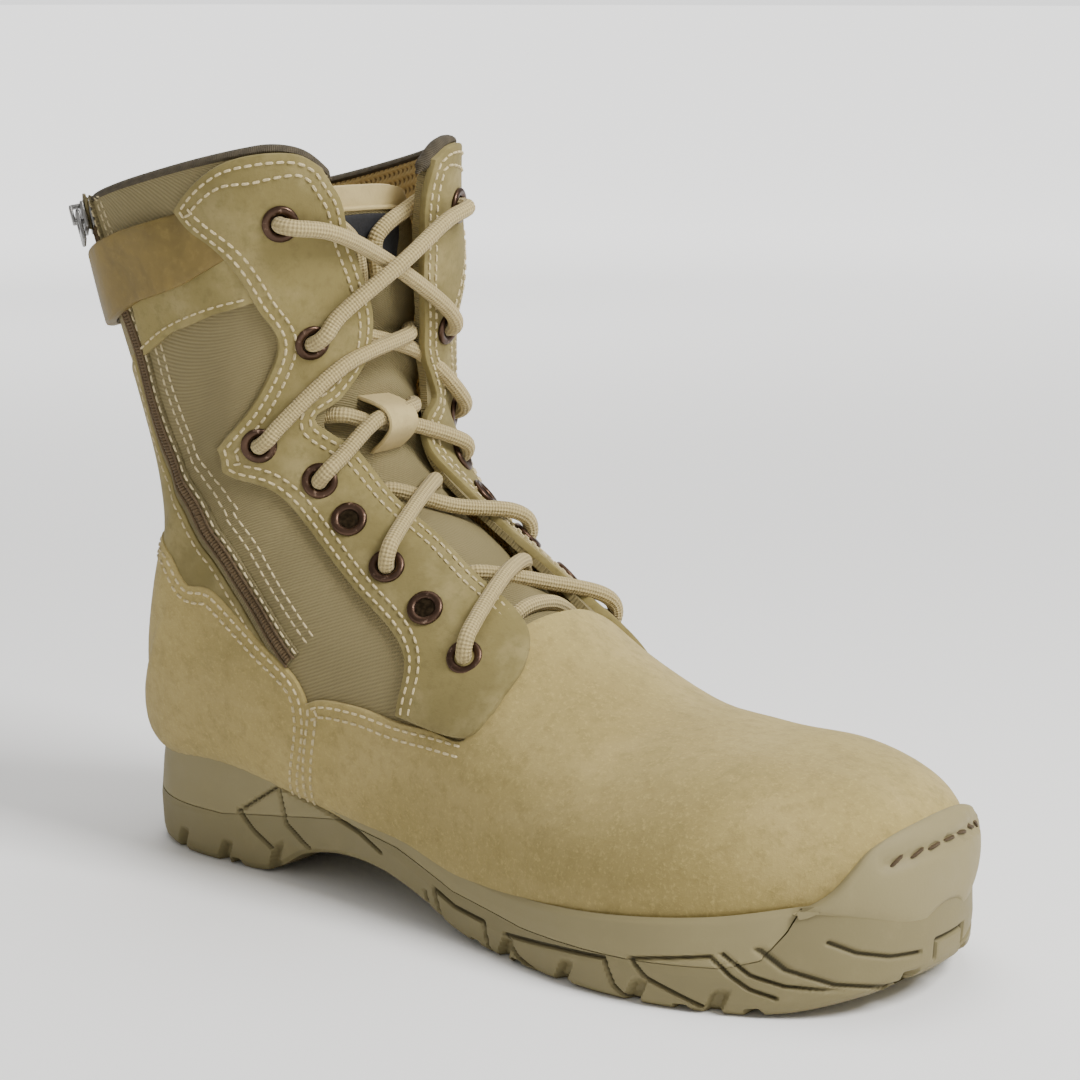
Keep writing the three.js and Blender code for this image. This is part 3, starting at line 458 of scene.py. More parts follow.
def row_points(step):
    """Places spread over the whole last about every step mm."""
    probe = np.linspace(0, 1, 400)
    reach = np.zeros(399)
    for share in (-0.98, -0.6, -0.3, 0.01, 0.3, 0.6, 0.98):
        side = INNER if share < 0 else OUTER
        p = LAST.at(probe, share * side * LAST.width(probe, side) * side)
        reach = np.maximum(reach, np.linalg.norm(np.diff(p, axis=0), axis=1))
    run = np.concatenate([[0], np.cumsum(reach)])
    rows = np.interp(np.arange(step, run[-1], step), run, probe)
    out = []
    for k, s in enumerate(rows):
        shift = 0.5 * step * (k % 2)
        low, high = -LAST.width(s, INNER), LAST.width(s, OUTER)
        mm = np.arange(low + 0.3 * step + shift, high, step)
        out.append(pairs(s, mm))
    return np.concatenate(out)


SPREAD = row_points(2.6)

# ---- soft relief: creases and the unevenness of worn leather ----
# Each crease: (s, mm) of both ends, width in mm, depth in mm.
CREASES = [
    ((0.300, -34), (0.318, 30), 11, -0.7),
    ((0.262, -30), (0.276, 26), 13, 0.5),
    ((0.560, -66), (0.640, -78), 12, -0.8),
    ((0.505, -72), (0.575, -92), 13, 0.6),
    ((0.560, 66), (0.640, 78), 12, -0.8),
    ((0.505, 72), (0.575, 92), 13, 0.6),
    ((0.800, -70), (0.835, -104), 14, -0.8),
    ((0.800, 60), (0.835, 96), 14, -0.8),
    ((0.870, -84), (0.880, -110), 16, 0.6),
]


def relief(places):
    """Height in mm that creases and soft waves add to the whole upper."""
    x, y = places[:, 1], places[:, 0] * PLANE
    wave = (np.sin(x / 23 + y / 41) * np.sin(y / 29 - x / 57 + 1.7)
            + 0.5 * np.sin(x / 11 - y / 17 + 0.6) * np.sin(x / 19 + y / 13))
    height = 0.32 * wave * smooth(0.12, 0.3, places[:, 0])
    for (s0, m0), (s1, m1), width, depth in CREASES:
        a, b = np.array([m0, s0 * PLANE]), np.array([m1, s1 * PLANE])
        d = b - a
        t = np.clip(((x - a[0]) * d[0] + (y - a[1]) * d[1]) / np.dot(d, d), 0, 1)
        bow = 4 * t * (1 - t)
        off = np.hypot(x - (a[0] + t * d[0]), y - (a[1] + t * d[1]) - 2 * bow)
        height = height + depth * np.exp(-(off / (0.45 * width)) ** 2)
    rim = 1 - smooth(0.965, 0.995, places[:, 0])
    return height * rim


def on(places, d=0.0):
    """Points d mm above the upper's surface."""
    return bare(places, np.asarray(d) + relief(places))


def flat(places):
    """Places as (mm, mm) in the flat pattern, seen from outside."""
    return np.stack([places[:, 1], places[:, 0] * PLANE], axis=1)


def unflat(points):
    return np.stack([points[:, 1] / PLANE, points[:, 0]], axis=1)


class Shape:
    """Points in mm, faces with a material number, and a (u, v) in mm for each point."""

    def __init__(self):
        self.points, self.uvs, self.faces, self.kinds = [], [], [], []
        self.count = 0

    def add(self, points, uv=None):
        """Adds points and returns the number of the first."""
        start = self.count
        self.points.append(np.asarray(points, float))
        self.uvs.append(np.zeros((len(points), 2)) if uv is None else uv)
        self.count += len(points)
        return start

    def cover(self, faces, kind=0):
        """Adds faces between points that are already there."""
        self.faces += faces
        self.kinds += [kind] * len(faces)

    def strip(self, first, second, kind=0, skip=()):
        """Quads between two closed runs of point numbers."""
        n = len(first)
        self.cover([(first[k], first[(k + 1) % n], second[(k + 1) % n], second[k])
                    for k in range(n) if k not in skip], kind)

    def strips(self, runs):
        for first, second in zip(runs[:-1], runs[1:]):
            self.strip(first, second)

    def sheet(self, triangles, start, kind=0, down=False):
        """Triangles of points that begin at start, turned over for an underside."""
        if down:
            triangles = triangles[:, ::-1]
        self.cover([tuple(t) for t in (triangles + start).tolist()], kind)

    def tube_faces(self, rows, sides, start):
        """Faces of a round body with closed ends."""
        last = start + (rows - 1) * sides
        self.cover(grid_faces(rows, sides, start, wrap=True))
        self.cover([tuple(range(start, start + sides))[::-1], tuple(range(last, last + sides))])


def finish_piece(name, shape, finishes, node=None, sharp=40, merge=0.002):
    """Makes the Blender object of a shape, with closed, outward faces. node is the CAD node
    that it stands in for."""
    points = np.concatenate(shape.points) * MM
    mesh = bpy.data.meshes.new(name)
    mesh.from_pydata([tuple(p) for p in points], [], shape.faces)
    uv = mesh.uv_layers.new(name="pattern")
    flat_uv = np.concatenate(shape.uvs)
    corner = np.zeros(len(mesh.loops), dtype=np.int64)
    mesh.loops.foreach_get("vertex_index", corner)
    uv.data.foreach_set("uv", flat_uv[corner].ravel())
    mesh.polygons.foreach_set("material_index", np.array(shape.kinds, dtype=np.int32))
    tidy = bmesh.new()
    tidy.from_mesh(mesh)
    bmesh.ops.remove_doubles(tidy, verts=tidy.verts, dist=merge * MM)
    bmesh.ops.dissolve_degenerate(tidy, edges=tidy.edges, dist=1e-7)
    bmesh.ops.recalc_face_normals(tidy, faces=tidy.faces)
    tidy.to_mesh(mesh)
    tidy.free()
    for finish_name in finishes.split():
        mesh.materials.append(finish(finish_name))
    piece = bpy.data.objects.new(name, mesh)
    bpy.context.scene.collection.objects.link(piece)
    select_only(piece)
    bpy.ops.object.shade_smooth_by_angle(angle=math.radians(sharp))
    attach(piece, BODY)
    if node:
        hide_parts(node)
    return piece


def select_only(piece):
    bpy.ops.object.select_all(action="DESELECT")
    piece.select_set(True)
    bpy.context.view_layer.objects.active = piece


def grid_faces(rows, columns, start=0, wrap=False):
    """Quads of a grid of points, rows upwards."""
    faces = []
    across = columns if wrap else columns - 1
    for i in range(rows - 1):
        for j in range(across):
            k = (j + 1) % columns
            faces.append((start + i * columns + j, start + i * columns + k,
                          start + (i + 1) * columns + k, start + (i + 1) * columns + j))
    return faces


EDGE_GAP = 1.3               # mm left free between an outline and the points inside it


def panel(shape, ring, low, high, edge=0.7, spread=None, lift=on):
    """A sheet cut to an outline and laid on the surface: a rounded edge, a smooth top and
    a bottom. low and high are heights in mm, as numbers or functions of the places."""
    low_at = low if callable(low) else (lambda q: np.full(len(q), float(low)))
    high_at = high if callable(high) else (lambda q: np.full(len(q), float(high)))
    ring = oriented(ring)
    near = moved(ring, 0.3 * edge, closed=True)
    top = moved(ring, edge, closed=True)
    cloud = spread_inside(top, SPREAD if spread is None else spread, EDGE_GAP, lift)
    points, triangles, rim = fill(flat(top), cloud)
    places = unflat(points)
    rows = [(ring, low_at(ring)), (ring, high_at(ring) - 0.8 * edge), (near, high_at(near) - 0.25 * edge)]
    runs = [shape.add(lift(q, d), uv=flat(q)) + np.arange(len(ring)) for q, d in rows]
    cap = shape.add(lift(places, high_at(places)), uv=flat(places))
    bottom = shape.add(lift(places, low_at(places)), uv=flat(places))
    shape.strips(runs + [cap + rim])
    shape.strip(bottom + rim, runs[0])
    shape.sheet(triangles, cap)
    shape.sheet(triangles, bottom, down=True)


def curve_through(points, step):
    """Smooth 3-D curve through given points, in even steps of about step mm."""
    points = np.asarray(points, float)
    fine = hermite(points, np.linalg.norm(np.diff(points, axis=0), axis=1), 60 * len(points))
    run = run_along(fine)
    return resample(fine, run, np.linspace(0, run[-1], max(3, int(round(run[-1] / step)) + 1)))


END_SHARE = 0.55             # a cord's rounded end: its reach and its radius over the cord's radius


def tube(shape, path, radius, sides=12, flatten=1.0, up=None):
    """Round or oval cord along a path with rounded ends. up gives the direction of the
    short axis at each point, flatten is short over long."""
    path = np.asarray(path, float)
    radius = np.broadcast_to(np.asarray(radius, float), len(path))
    tangent = unit(np.gradient(path, axis=0))
    if up is None:
        guide = np.array([0.0, 0, 1]) if abs(tangent[0][2]) < 0.9 else np.array([0.0, 1, 0])
        ups = []
        for t in tangent:
            guide = guide - t * np.dot(guide, t)
            guide = guide / np.linalg.norm(guide)
            ups.append(guide)
        up = np.array(ups)
    side = unit(np.cross(up, tangent))
    up = unit(np.cross(tangent, side))
    cap = radius[0] * END_SHARE
    path = np.concatenate([[path[0] - tangent[0] * cap], path, [path[-1] + tangent[-1] * cap]])
    radius = np.concatenate([[radius[0] * END_SHARE], radius, [radius[-1] * END_SHARE]])
    side = np.concatenate([side[:1], side, side[-1:]])
    up = np.concatenate([up[:1], up, up[-1:]])
    angle = 2 * math.pi * np.arange(sides) / sides
    ring = (side[:, None] * np.cos(angle)[None, :, None]
            + up[:, None] * (flatten * np.sin(angle))[None, :, None])
    points = path[:, None] + ring * radius[:, None, None]
    uv = np.stack(np.broadcast_arrays(run_along(path)[:, None], np.abs(angle / math.pi - 1)[None]), axis=2)
    start = shape.add(points.reshape(-1, 3), uv.reshape(-1, 2))
    shape.tube_faces(len(path), sides, start)


STITCH_RINGS = [(-0.5, 0.35, -0.75), (-0.3, 0.9, 0.0), (0.3, 0.9, 0.0), (0.5, 0.35, -0.75)]
STITCH_SIDES = 5


def stitch_along(shape, path, normals, pitch, radius, length=2.5):
    """Sewn thread: one small arched bead every pitch mm of a path."""
    run = run_along(path)
    count = int(run[-1] // pitch)
    if count < 1:
        return
    centre = (np.arange(count) + 0.5) * run[-1] / count
    middle, ahead, behind = (resample(path, run, centre + shift) for shift in (0, 0.4, -0.4))
    out = unit(resample(normals, run, centre))
    along = unit(ahead - behind)
    side = unit(np.cross(out, along))
    angle = 2 * math.pi * np.arange(STITCH_SIDES) / STITCH_SIDES
    for c, t, b, n in zip(middle, along, side, out):
        points = []
        for place, size, sink in STITCH_RINGS:
            hub = c + t * place * length + n * sink * radius
            points += [hub + radius * size * (b * math.cos(a) + n * math.sin(a)) for a in angle]
        shape.tube_faces(len(STITCH_RINGS), STITCH_SIDES, shape.add(points))


def sew(shape, places, height, inset=0.0, radius=None):
    """Stitches along a curve of places, moved inset mm to its left."""
    places = even(places, 1.0)
    if inset:
        places = even(moved(places, inset), 1.0)
    stitch_along(shape, on(places, height), outward(places), mm_of("pitch"), radius or mm_of("thread"))


# ---- finishes ----
class Value:
    """A socket in a node tree. Arithmetic on it adds Math nodes."""

    def __init__(self, tree, socket):
        self.tree, self.socket = tree, socket

    def _math(self, operation, *values):
        node = self.tree.nodes.new("ShaderNodeMath")
        node.operation = operation
        for k, value in enumerate(values):
            if isinstance(value, Value):
                self.tree.links.new(value.socket, node.inputs[k])
            else:
                node.inputs[k].default_value = value
        return Value(self.tree, node.outputs[0])

    def __add__(self, other):
        return self._math("ADD", self, other)

    def __radd__(self, other):
        return self._math("ADD", other, self)

    def __sub__(self, other):
        return self._math("SUBTRACT", self, other)

    def __rsub__(self, other):
        return self._math("SUBTRACT", other, self)

    def __mul__(self, other):
        return self._math("MULTIPLY", self, other)

    def __rmul__(self, other):
        return self._math("MULTIPLY", other, self)

    def sine(self):
        return self._math("SINE", self)

    def ramp(self, low, high):
        """0 at low, 1 at high, smooth between."""
        return add_node(self.tree, "ShaderNodeMapRange", "Result", {"interpolation_type": "SMOOTHSTEP"},
                        Value=self, From_Min=low, From_Max=high)


def add_node(tree, kind, output, settings=None, **inputs):
    """Any shader node by type, settings and inputs; underscores stand for spaces."""
    node = tree.nodes.new(kind)
    for name, value in (settings or {}).items():
        setattr(node, name, value)
    for name, value in inputs.items():
        socket = node.inputs[name.replace("_", " ")]
        if isinstance(value, Value):
            tree.links.new(value.socket, socket)
        else:
            socket.default_value = value
    return Value(tree, node.outputs[output])


class Finish:
    """One procedural material. node() adds any node by type, settings and inputs."""

    def __init__(self, name, roughness=0.8, **constants):
        self.material = bpy.data.materials.new(name)
        self.material.use_nodes = True
        self.tree = self.material.node_tree
        self.shader = self.tree.nodes["Principled BSDF"]
        self.shader.inputs["Roughness"].default_value = roughness
        for socket, value in constants.items():
            self.shader.inputs[socket.replace("_", " ")].default_value = value

    def node(self, kind, output, settings=None, **inputs):
        return add_node(self.tree, kind, output, settings, **inputs)

    def place(self):
        """Object coordinates in metres."""
        return self.node("ShaderNodeTexCoord", "Object")

    def pattern(self):
        """(u, v) of the piece's own pattern, in mm."""
        xyz = self.node("ShaderNodeUVMap", "UV", {"uv_map": "pattern"})
        split = self.tree.nodes.new("ShaderNodeSeparateXYZ")
        self.tree.links.new(xyz.socket, split.inputs[0])
        return Value(self.tree, split.outputs[0]), Value(self.tree, split.outputs[1])

    def noise(self, scale, detail=3.0, roughness=0.55, stretch=None, distortion=0.0):
        vector = self.place()
        if stretch:
            vector = self.node("ShaderNodeMapping", "Vector", Vector=vector, Scale=stretch)
        return self.node("ShaderNodeTexNoise", "Fac", Vector=vector, Scale=scale, Detail=detail,
                         Roughness=roughness, Distortion=distortion)

    def blend(self, factor, first, second):
        """Colour between two colours; the factor is a Value."""
        node = self.tree.nodes.new("ShaderNodeMix")
        node.data_type = "RGBA"
        for socket, value in ((0, factor), (6, first), (7, second)):
            if isinstance(value, Value):
                self.tree.links.new(value.socket, node.inputs[socket])
            else:
                node.inputs[socket].default_value = (*value, 1.0)
        return Value(self.tree, node.outputs[2])

    def drive(self, socket, value):
        """Lets a varying value feed one input of the material."""
        self.tree.links.new(value.socket, self.shader.inputs[socket])

    def tones(self, colour, base, low, high, *layers):
        """Colour of the material: two shades of one colour mixed by base, then thin layers of
        another shade or of another colour, each shown as strongly as its mask says."""
        tone = self.blend(base, shade(colour, low), shade(colour, high))
        for mask, over in layers:
            tone = self.blend(mask, tone, over if isinstance(over, tuple) else shade(colour, over))
        self.drive("Base Color", tone)

    def bump(self, *layers):
        """Surface detail: (height value, depth in metres, strength) layers."""
        below = {}
        for height, depth, strength in layers:
            normal = self.node("ShaderNodeBump", "Normal", Height=height, Distance=depth, Strength=strength,
                               **below)
            below = {"Normal": normal}
        self.drive("Normal", normal)


def shade(colour, k):
    """A darker or lighter version of a colour."""
    return tuple(min(1.0, c * k) for c in colour[:3])


def mixed(first, second, t):
    return tuple(lerp(a, b, t) for a, b in zip(first[:3], second[:3]))


TURN = 2 * math.pi


def wave(value):
    """Sine of a value as a share from 0 to 1."""
    return value.sine() * 0.5 + 0.5


def suede(colour):
    f = Finish("suede", 0.95, Sheen_Weight=0.12, Sheen_Roughness=0.5, Specular_IOR_Level=0.12)
    brushed = f.noise(28, 4, 0.6, (1.0, 0.55, 1.0), 0.6)
    nap = f.noise(800, 3, 0.75)
    grain = f.noise(240, 5, 0.7)
    f.tones(colour, f.noise(9, 2, 0.5).ramp(0.3, 0.7), 0.80, 1.08,
            (brushed.ramp(0.35, 0.75) * 0.5, mixed(colour, (0.60, 0.47, 0.24), 0.4)),
            (grain.ramp(0.42, 0.72) * 0.55, 0.62),
            (nap.ramp(0.5, 0.72) * 0.5, 1.35))
    f.bump((grain, 0.0006, 0.35), (nap, 0.0003, 0.6))
    return f.material


def nubuck(colour):
    f = Finish("nubuck", 0.85, Sheen_Weight=0.06, Sheen_Roughness=0.5, Specular_IOR_Level=0.2)
    pores = f.noise(1100, 2, 0.6)
    rub = f.noise(60, 4, 0.6)
    f.tones(colour, f.noise(12, 3, 0.55, None, 0.5).ramp(0.3, 0.7), 0.76, 1.1,
            (rub.ramp(0.42, 0.72) * 0.5, mixed(colour, (0.46, 0.38, 0.19), 0.5)),
            (f.noise(300, 4, 0.7).ramp(0.45, 0.72) * 0.5, 0.66),
            (pores.ramp(0.55, 0.8) * 0.25, 0.8))
    f.bump((rub, 0.0006, 0.25), (pores, 0.00018, 0.45))
    return f.material


def nylon(colour, name="nylon", pitch=0.95, slant=0.62):
    f = Finish(name, 0.78, Specular_IOR_Level=0.35)
    u, v = f.pattern()
    rib = wave((u * slant + v) * (TURN / pitch))
    pick = wave((u - v * slant) * (TURN / (0.55 * pitch)))
    fuzz = f.noise(700, 2, 0.6)
    weave = rib * 0.55 + pick * 0.45
    f.tones(colour, weave.ramp(0.1, 0.9), 0.78, 1.14,
            (f.noise(14, 3, 0.6).ramp(0.35, 0.75) * 0.3, 0.86),
            (fuzz.ramp(0.55, 0.8) * 0.15, 1.3))
    f.bump((weave, 0.0004, 0.7), (fuzz, 0.0002, 0.2))
    return f.material


def mesh_lining(colour):
    f = Finish("mesh lining", 0.85, Specular_IOR_Level=0.25)
    u, v = f.pattern()
    rows = (v * (TURN / 2.4)).sine()
    holes = (rows * 0.5 + 0.5) * wave(u * (TURN / 2.1) + rows * 1.2)
    f.tones(colour, holes.ramp(0.35, 0.8), 1.12, 0.42, (f.noise(30, 3, 0.6).ramp(0.3, 0.7) * 0.35, 0.8))
    f.bump((1 - holes, 0.0008, 0.8))
    return f.material


def rubber(colour, name="rubber", shaded_grooves=True):
    """Matt rubber. Where the grooves are shaded, u of the pattern is the depth of a groove in mm, and the
    colour darkens with it: painted shade in the grooves.
    """
    f = Finish(name, 0.62, Specular_IOR_Level=0.22)
    dust = f.noise(90, 4, 0.65)
    layers = [(dust.ramp(0.5, 0.8) * 0.3, mixed(colour, (0.50, 0.43, 0.25), 0.25))]
    if shaded_grooves:
        # painted shade: the deeper the groove, the darker the rubber
        layers.append((f.pattern()[0].ramp(0.45, 1.3), 0.34))
    f.tones(colour, f.noise(16, 3, 0.5).ramp(0.3, 0.7), 0.95, 1.04, *layers)
    f.drive("Roughness", dust.ramp(0.35, 0.8) * 0.2 + 0.55)
    f.bump((dust, 0.0004, 0.12), (f.noise(1300, 2, 0.6), 0.00012, 0.3))
    return f.material


def braid(colour):
    """Round braid: two sets of strands that cross along the cord."""
    f = Finish("lace braid", 0.85, Sheen_Weight=0.1, Specular_IOR_Level=0.25)
    u, v = f.pattern()
    right = ((u * 0.55 + v * 3.0) * TURN).sine()
    left = ((u * 0.55 - v * 3.0) * TURN).sine()
    knit = (right * left) * 0.5 + 0.5
    fuzz = f.noise(900, 2, 0.6)
    f.tones(colour, knit.ramp(0.15, 0.75), 0.70, 1.06,
            (f.noise(35, 3, 0.6).ramp(0.4, 0.8) * 0.3, 0.84),
            (fuzz.ramp(0.5, 0.8) * 0.2, 1.2))
    f.bump((knit, 0.0005, 0.8), (fuzz, 0.0002, 0.3))
    return f.material


def thread(colour, name="thread"):
    f = Finish(name, 0.7, Specular_IOR_Level=0.35)
    twist = f.noise(1500, 2, 0.5)
    f.tones(colour, twist.ramp(0.3, 0.7), 0.82, 1.1)
    f.bump((twist, 0.0001, 0.4))
    return f.material


def painted_hole_shade():
    # painted shade: near-black colour standing for the shadow inside an eyelet
    f = Finish("eyelet hole", 1.0, Specular_IOR_Level=0.0)
    f.drive("Base Color", f.blend(f.noise(800, 2, 0.5).ramp(0.3, 0.7), (0.010, 0.007, 0.004),
                                  (0.026, 0.018, 0.010)))
    return f.material


def antique_metal(colour, name="antique metal"):
    f = Finish(name, 0.36, Metallic=0.9)
    wear = f.noise(500, 4, 0.65)
    f.tones(colour, f.noise(120, 2, 0.5).ramp(0.35, 0.65), 0.75, 1.0,
            (wear.ramp(0.58, 0.75) * 0.6, mixed(colour, (0.75, 0.52, 0.38), 0.7)))
    f.drive("Roughness", wear.ramp(0.3, 0.8) * 0.25 + 0.28)
    f.bump((wear, 0.00008, 0.35))
    return f.material


def waxed_leather(colour):
    f = Finish("waxed leather", 0.66, Specular_IOR_Level=0.25)
    nap = f.noise(420, 4, 0.65)
    rub = f.noise(45, 4, 0.65, None, 0.8)
    f.tones(colour, rub.ramp(0.3, 0.7), 0.7, 1.14, (nap.ramp(0.5, 0.75) * 0.45, 1.35))
    f.drive("Roughness", rub.ramp(0.3, 0.8) * 0.25 + 0.5)
    f.bump((rub, 0.0005, 0.25), (nap, 0.00025, 0.5))
    return f.material


# ---- sizes and colours ----
def colour_prop(name, description, value):
    return FloatVectorProperty(name=name, description=description, default=value, size=3,
                               min=0, max=1, subtype="COLOR")


def size_prop(name, description, value):
    return FloatProperty(name=name, description=description, default=value, unit="LENGTH")


class BootSizes(bpy.types.PropertyGroup):
    """Thicknesses and widths of the boot's own materials."""

    vamp: size_prop("Vamp", "Thickness of the suede toe and heel over the base", 0.0014)
    facing: size_prop("Facing", "Thickness of the lace facings over the base", 0.0021)
    edge: size_prop("Cut edge", "Rounding of a cut leather edge", 0.0007)
    thread: size_prop("Thread", "Radius of the sewing thread", 0.00048)
    pitch: size_prop("Stitch pitch", "Distance from one stitch to the next", 0.0031)
    lace: size_prop("Lace", "Diameter of the round lace", 0.0048)
    coil: size_prop("Zip coil", "Distance from one zip tooth to the next", 0.0019)


class BootColours(bpy.types.PropertyGroup):
    """Linear colours of the boot's materials."""

    suede: colour_prop("Suede", "Toe, wings and heel counter", (0.350, 0.272, 0.100))
    facing: colour_prop("Nubuck", "Lace facings, backstay and crescent", (0.220, 0.176, 0.064))
    nylon: colour_prop("Nylon", "Quarters, tongue and collar", (0.230, 0.186, 0.084))
    lining: colour_prop("Lining", "Mesh inside", (0.460, 0.335, 0.140))
    rubber: colour_prop("Rubber", "Outsole", (0.200, 0.168, 0.082))
    midsole: colour_prop("Midsole", "Band over the outsole and toe bumper", (0.256, 0.216, 0.108))
    lace: colour_prop("Lace", "Braided lace", (0.440, 0.345, 0.160))
    thread: colour_prop("Thread", "Sewing thread", (0.520, 0.430, 0.240))
    strap: colour_prop("Strap", "Waxed leather strap", (0.176, 0.124, 0.036))
    zip: colour_prop("Zip tape", "Zip tape and piping", (0.070, 0.045, 0.020))
    binding: colour_prop("Binding", "Collar binding", (0.060, 0.047, 0.027))
    brass: colour_prop("Eyelets", "Antique copper eyelets", (0.080, 0.046, 0.030))
    steel: colour_prop("Slider", "Grey plated slider", (0.300, 0.295, 0.285))
    tab: colour_prop("Tab", "Rust side tab", (0.230, 0.062, 0.020))


def mm_of(name):
    return getattr(bpy.context.scene.boot_sizes, name) / MM


def tint(name, share=1.0):
    """One of the boot's colours, made lighter or darker by a share."""
    return shade(tuple(getattr(bpy.context.scene.boot_colours, name)), share)


FINISHES = {
    "suede": lambda: suede(tint("suede")),
    "facing": lambda: nubuck(tint("facing")),
    "nylon": lambda: nylon(tint("nylon")),
    "lining": lambda: mesh_lining(tint("lining")),
    "rubber": lambda: rubber(tint("rubber")),
    "midsole": lambda: rubber(tint("midsole"), "midsole rubber"),
    # the bumper rubber gets no painted shade in grooves
    "bumper": lambda: rubber(tint("midsole"), "bumper rubber", shaded_grooves=False),
    "lace": lambda: braid(tint("lace")),
    "thread": lambda: thread(tint("thread")),
    "dark_thread": lambda: thread(tint("zip"), "dark thread"),
    "strap": lambda: waxed_leather(tint("strap")),
    "tape": lambda: nylon(tint("nylon", 0.72), "zip tape", 0.8, 0.0),
    "piping": lambda: thread(tint("zip", 1.4), "piping"),
    "binding": lambda: nylon(tint("binding"), "binding", 1.0, 0.2),
    "brass": lambda: antique_metal(tint("brass")),
    "steel": lambda: antique_metal(tint("steel"), "grey metal"),
    "tab": lambda: nubuck(tint("tab")),
    "seam": lambda: thread(tint("binding", 1.6), "seam line"),
    "cream": lambda: nubuck(tint("lace", 1.25)),
    "patch": lambda: thread((0.022, 0.022, 0.024), "woven patch"),
    # the eyelet hole finish is painted shade
    "hole": painted_hole_shade,
}
_made = {}


def finish(name):
    """The material of that name, made once."""
    if name not in _made:
        _made[name] = FINISHES[name]()
    return _made[name]


# ---- the lines of the pattern, as (s, mm) places ----
FACING_REAR = [(0.972, 71.5), (0.919, 55.5), (0.856, 46), (0.795, 39), (0.763, 50), (0.767, 69)]
FACING_WING = [(0.728, 65), (0.623, 41), (0.572, 37), (0.503, 38.5), (0.445, 43), (0.430, 58)]
FACING_FRONT = {
    INNER: [(0.977, 22), (0.935, 19), (0.888, 16), (0.829, 10), (0.775, 6), (0.719, 7), (0.68, 16),
            (0.676, 24)],
    OUTER: [(0.977, 13), (0.92, 12), (0.834, 13.5), (0.76, 15), (0.72, 17), (0.70, 21), (0.678, 24)],
}
FACING_LOW = {
    INNER: [(0.676, 24), (0.641, 19), (0.614, 13.5), (0.5375, 10), (0.4935, 9), (0.45, 11), (0.417, 11),
            (0.396, 14), (0.382, 22.5), (0.377, 38)],
    OUTER: [(0.678, 24), (0.64, 16), (0.597, 12), (0.54, 20), (0.467, 22), (0.4255, 26), (0.396, 33),
            (0.378, 47)],
}
REAR_SHIFT = [(0.41, 7), (0.45, 5), (0.5, 4), (0.6, 1.5), (0.7, -1.5), (0.775, 1), (0.86, -3),
              (0.92, -8), (0.98, -8)]
WING_TOP = [(-136, 59), (-130, 57), (-117.5, 58), (-104, 59), (-91, 61), (-76.5, 61), (-71, 59)]
WING_REAR = [(-71, 59), (-70, 53), (-70, 40)]
COUNTER_FRONT = [(-25, 89), (-35, 88), (-52, 77), (-69, 65), (-72, 53), (-70, 40)]
BACKSTAY_HALF = 10.5


def rear_of(side, points):
    """Facing rear line of one side: the outer facing is a little wider or narrower."""
    keys, shifts = zip(*REAR_SHIFT)
    return [(s, side * (mm + (np.interp(s, keys, shifts) if side == OUTER else 0))) for s, mm in points]


def mirrored(side, points):
    return [(s, side * mm) for s, mm in points]


def seen(side, points):
    """(y, z) points of the side view as places on that side."""
    return LAST.side_view(points, side)


def oriented(ring):
    """Ring turned so that its inside is on the left seen from outside."""
    points = flat(ring)
    area = np.sum(np.cross(points, np.roll(points, -1, axis=0)))
    return ring if area > 0 else ring[::-1]


def to_edge(side, curve):
    """The curve of places with its last one put on the featherline."""
    curve[-1, 1] = side * LAST.width(curve[-1, 0], side)
    return curve


def inward(path, ring):
    """1 if moving the path to its left goes into the ring, else -1."""
    step = moved(even(path, 2.0), 2.5)
    return 1 if np.mean(inside(flat(step), flat(ring))) > 0.5 else -1


def aimed(thing, target):
    """Turns a camera or a lamp towards a point."""
    thing.rotation_euler = (Vector(target) - thing.location).to_track_quat("-Z", "Y").to_euler()


CAMERA_AT, CAMERA_AIM = (-0.61097, -0.61336, 0.26348), (0.0045, -0.1225, 0.1075)
LENS, SENSOR = 91, 36        # mm
LAMP_AIM = (0, -0.12, 0.1)
FLOOR_COLOUR = (0.93, 0.925, 0.915, 1)
# painted glow of the floor, brighter away from the boot
FLOOR_GLOW = (0.35, 2.4, 1.5)           # distances in metres over which it rises, and its strength
SKY_COLOUR, SKY_STRENGTH, BACKDROP_STRENGTH = (1.0, 0.985, 0.96, 1), 0.45, 1.95
# Name, place in metres, size in metres and power in watts.
LAMPS = [
    ("key", (0.12, -1.25, 1.25), 0.6, 38),
    ("side", (-1.3, -0.6, 0.9), 1.0, 1),
    ("top", (0.2, 0.1, 1.6), 0.9, 10),
    ("back", (0.9, 0.9, 0.8), 0.9, 5),
]
UNDER = -0.3                 # how far in mm a panel's underside sinks into the shell
INSETS = (2.0, 5.0)          # of a double row of stitches from a panel's edge
ON_TOP = 0.1                 # how far in mm a thread's middle lies over a panel


class BootOperator:
    """What all operators of the boot share."""

    bl_options = {"REGISTER", "UNDO"}

    def execute(self, context):
        self.build()
        return {"FINISHED"}


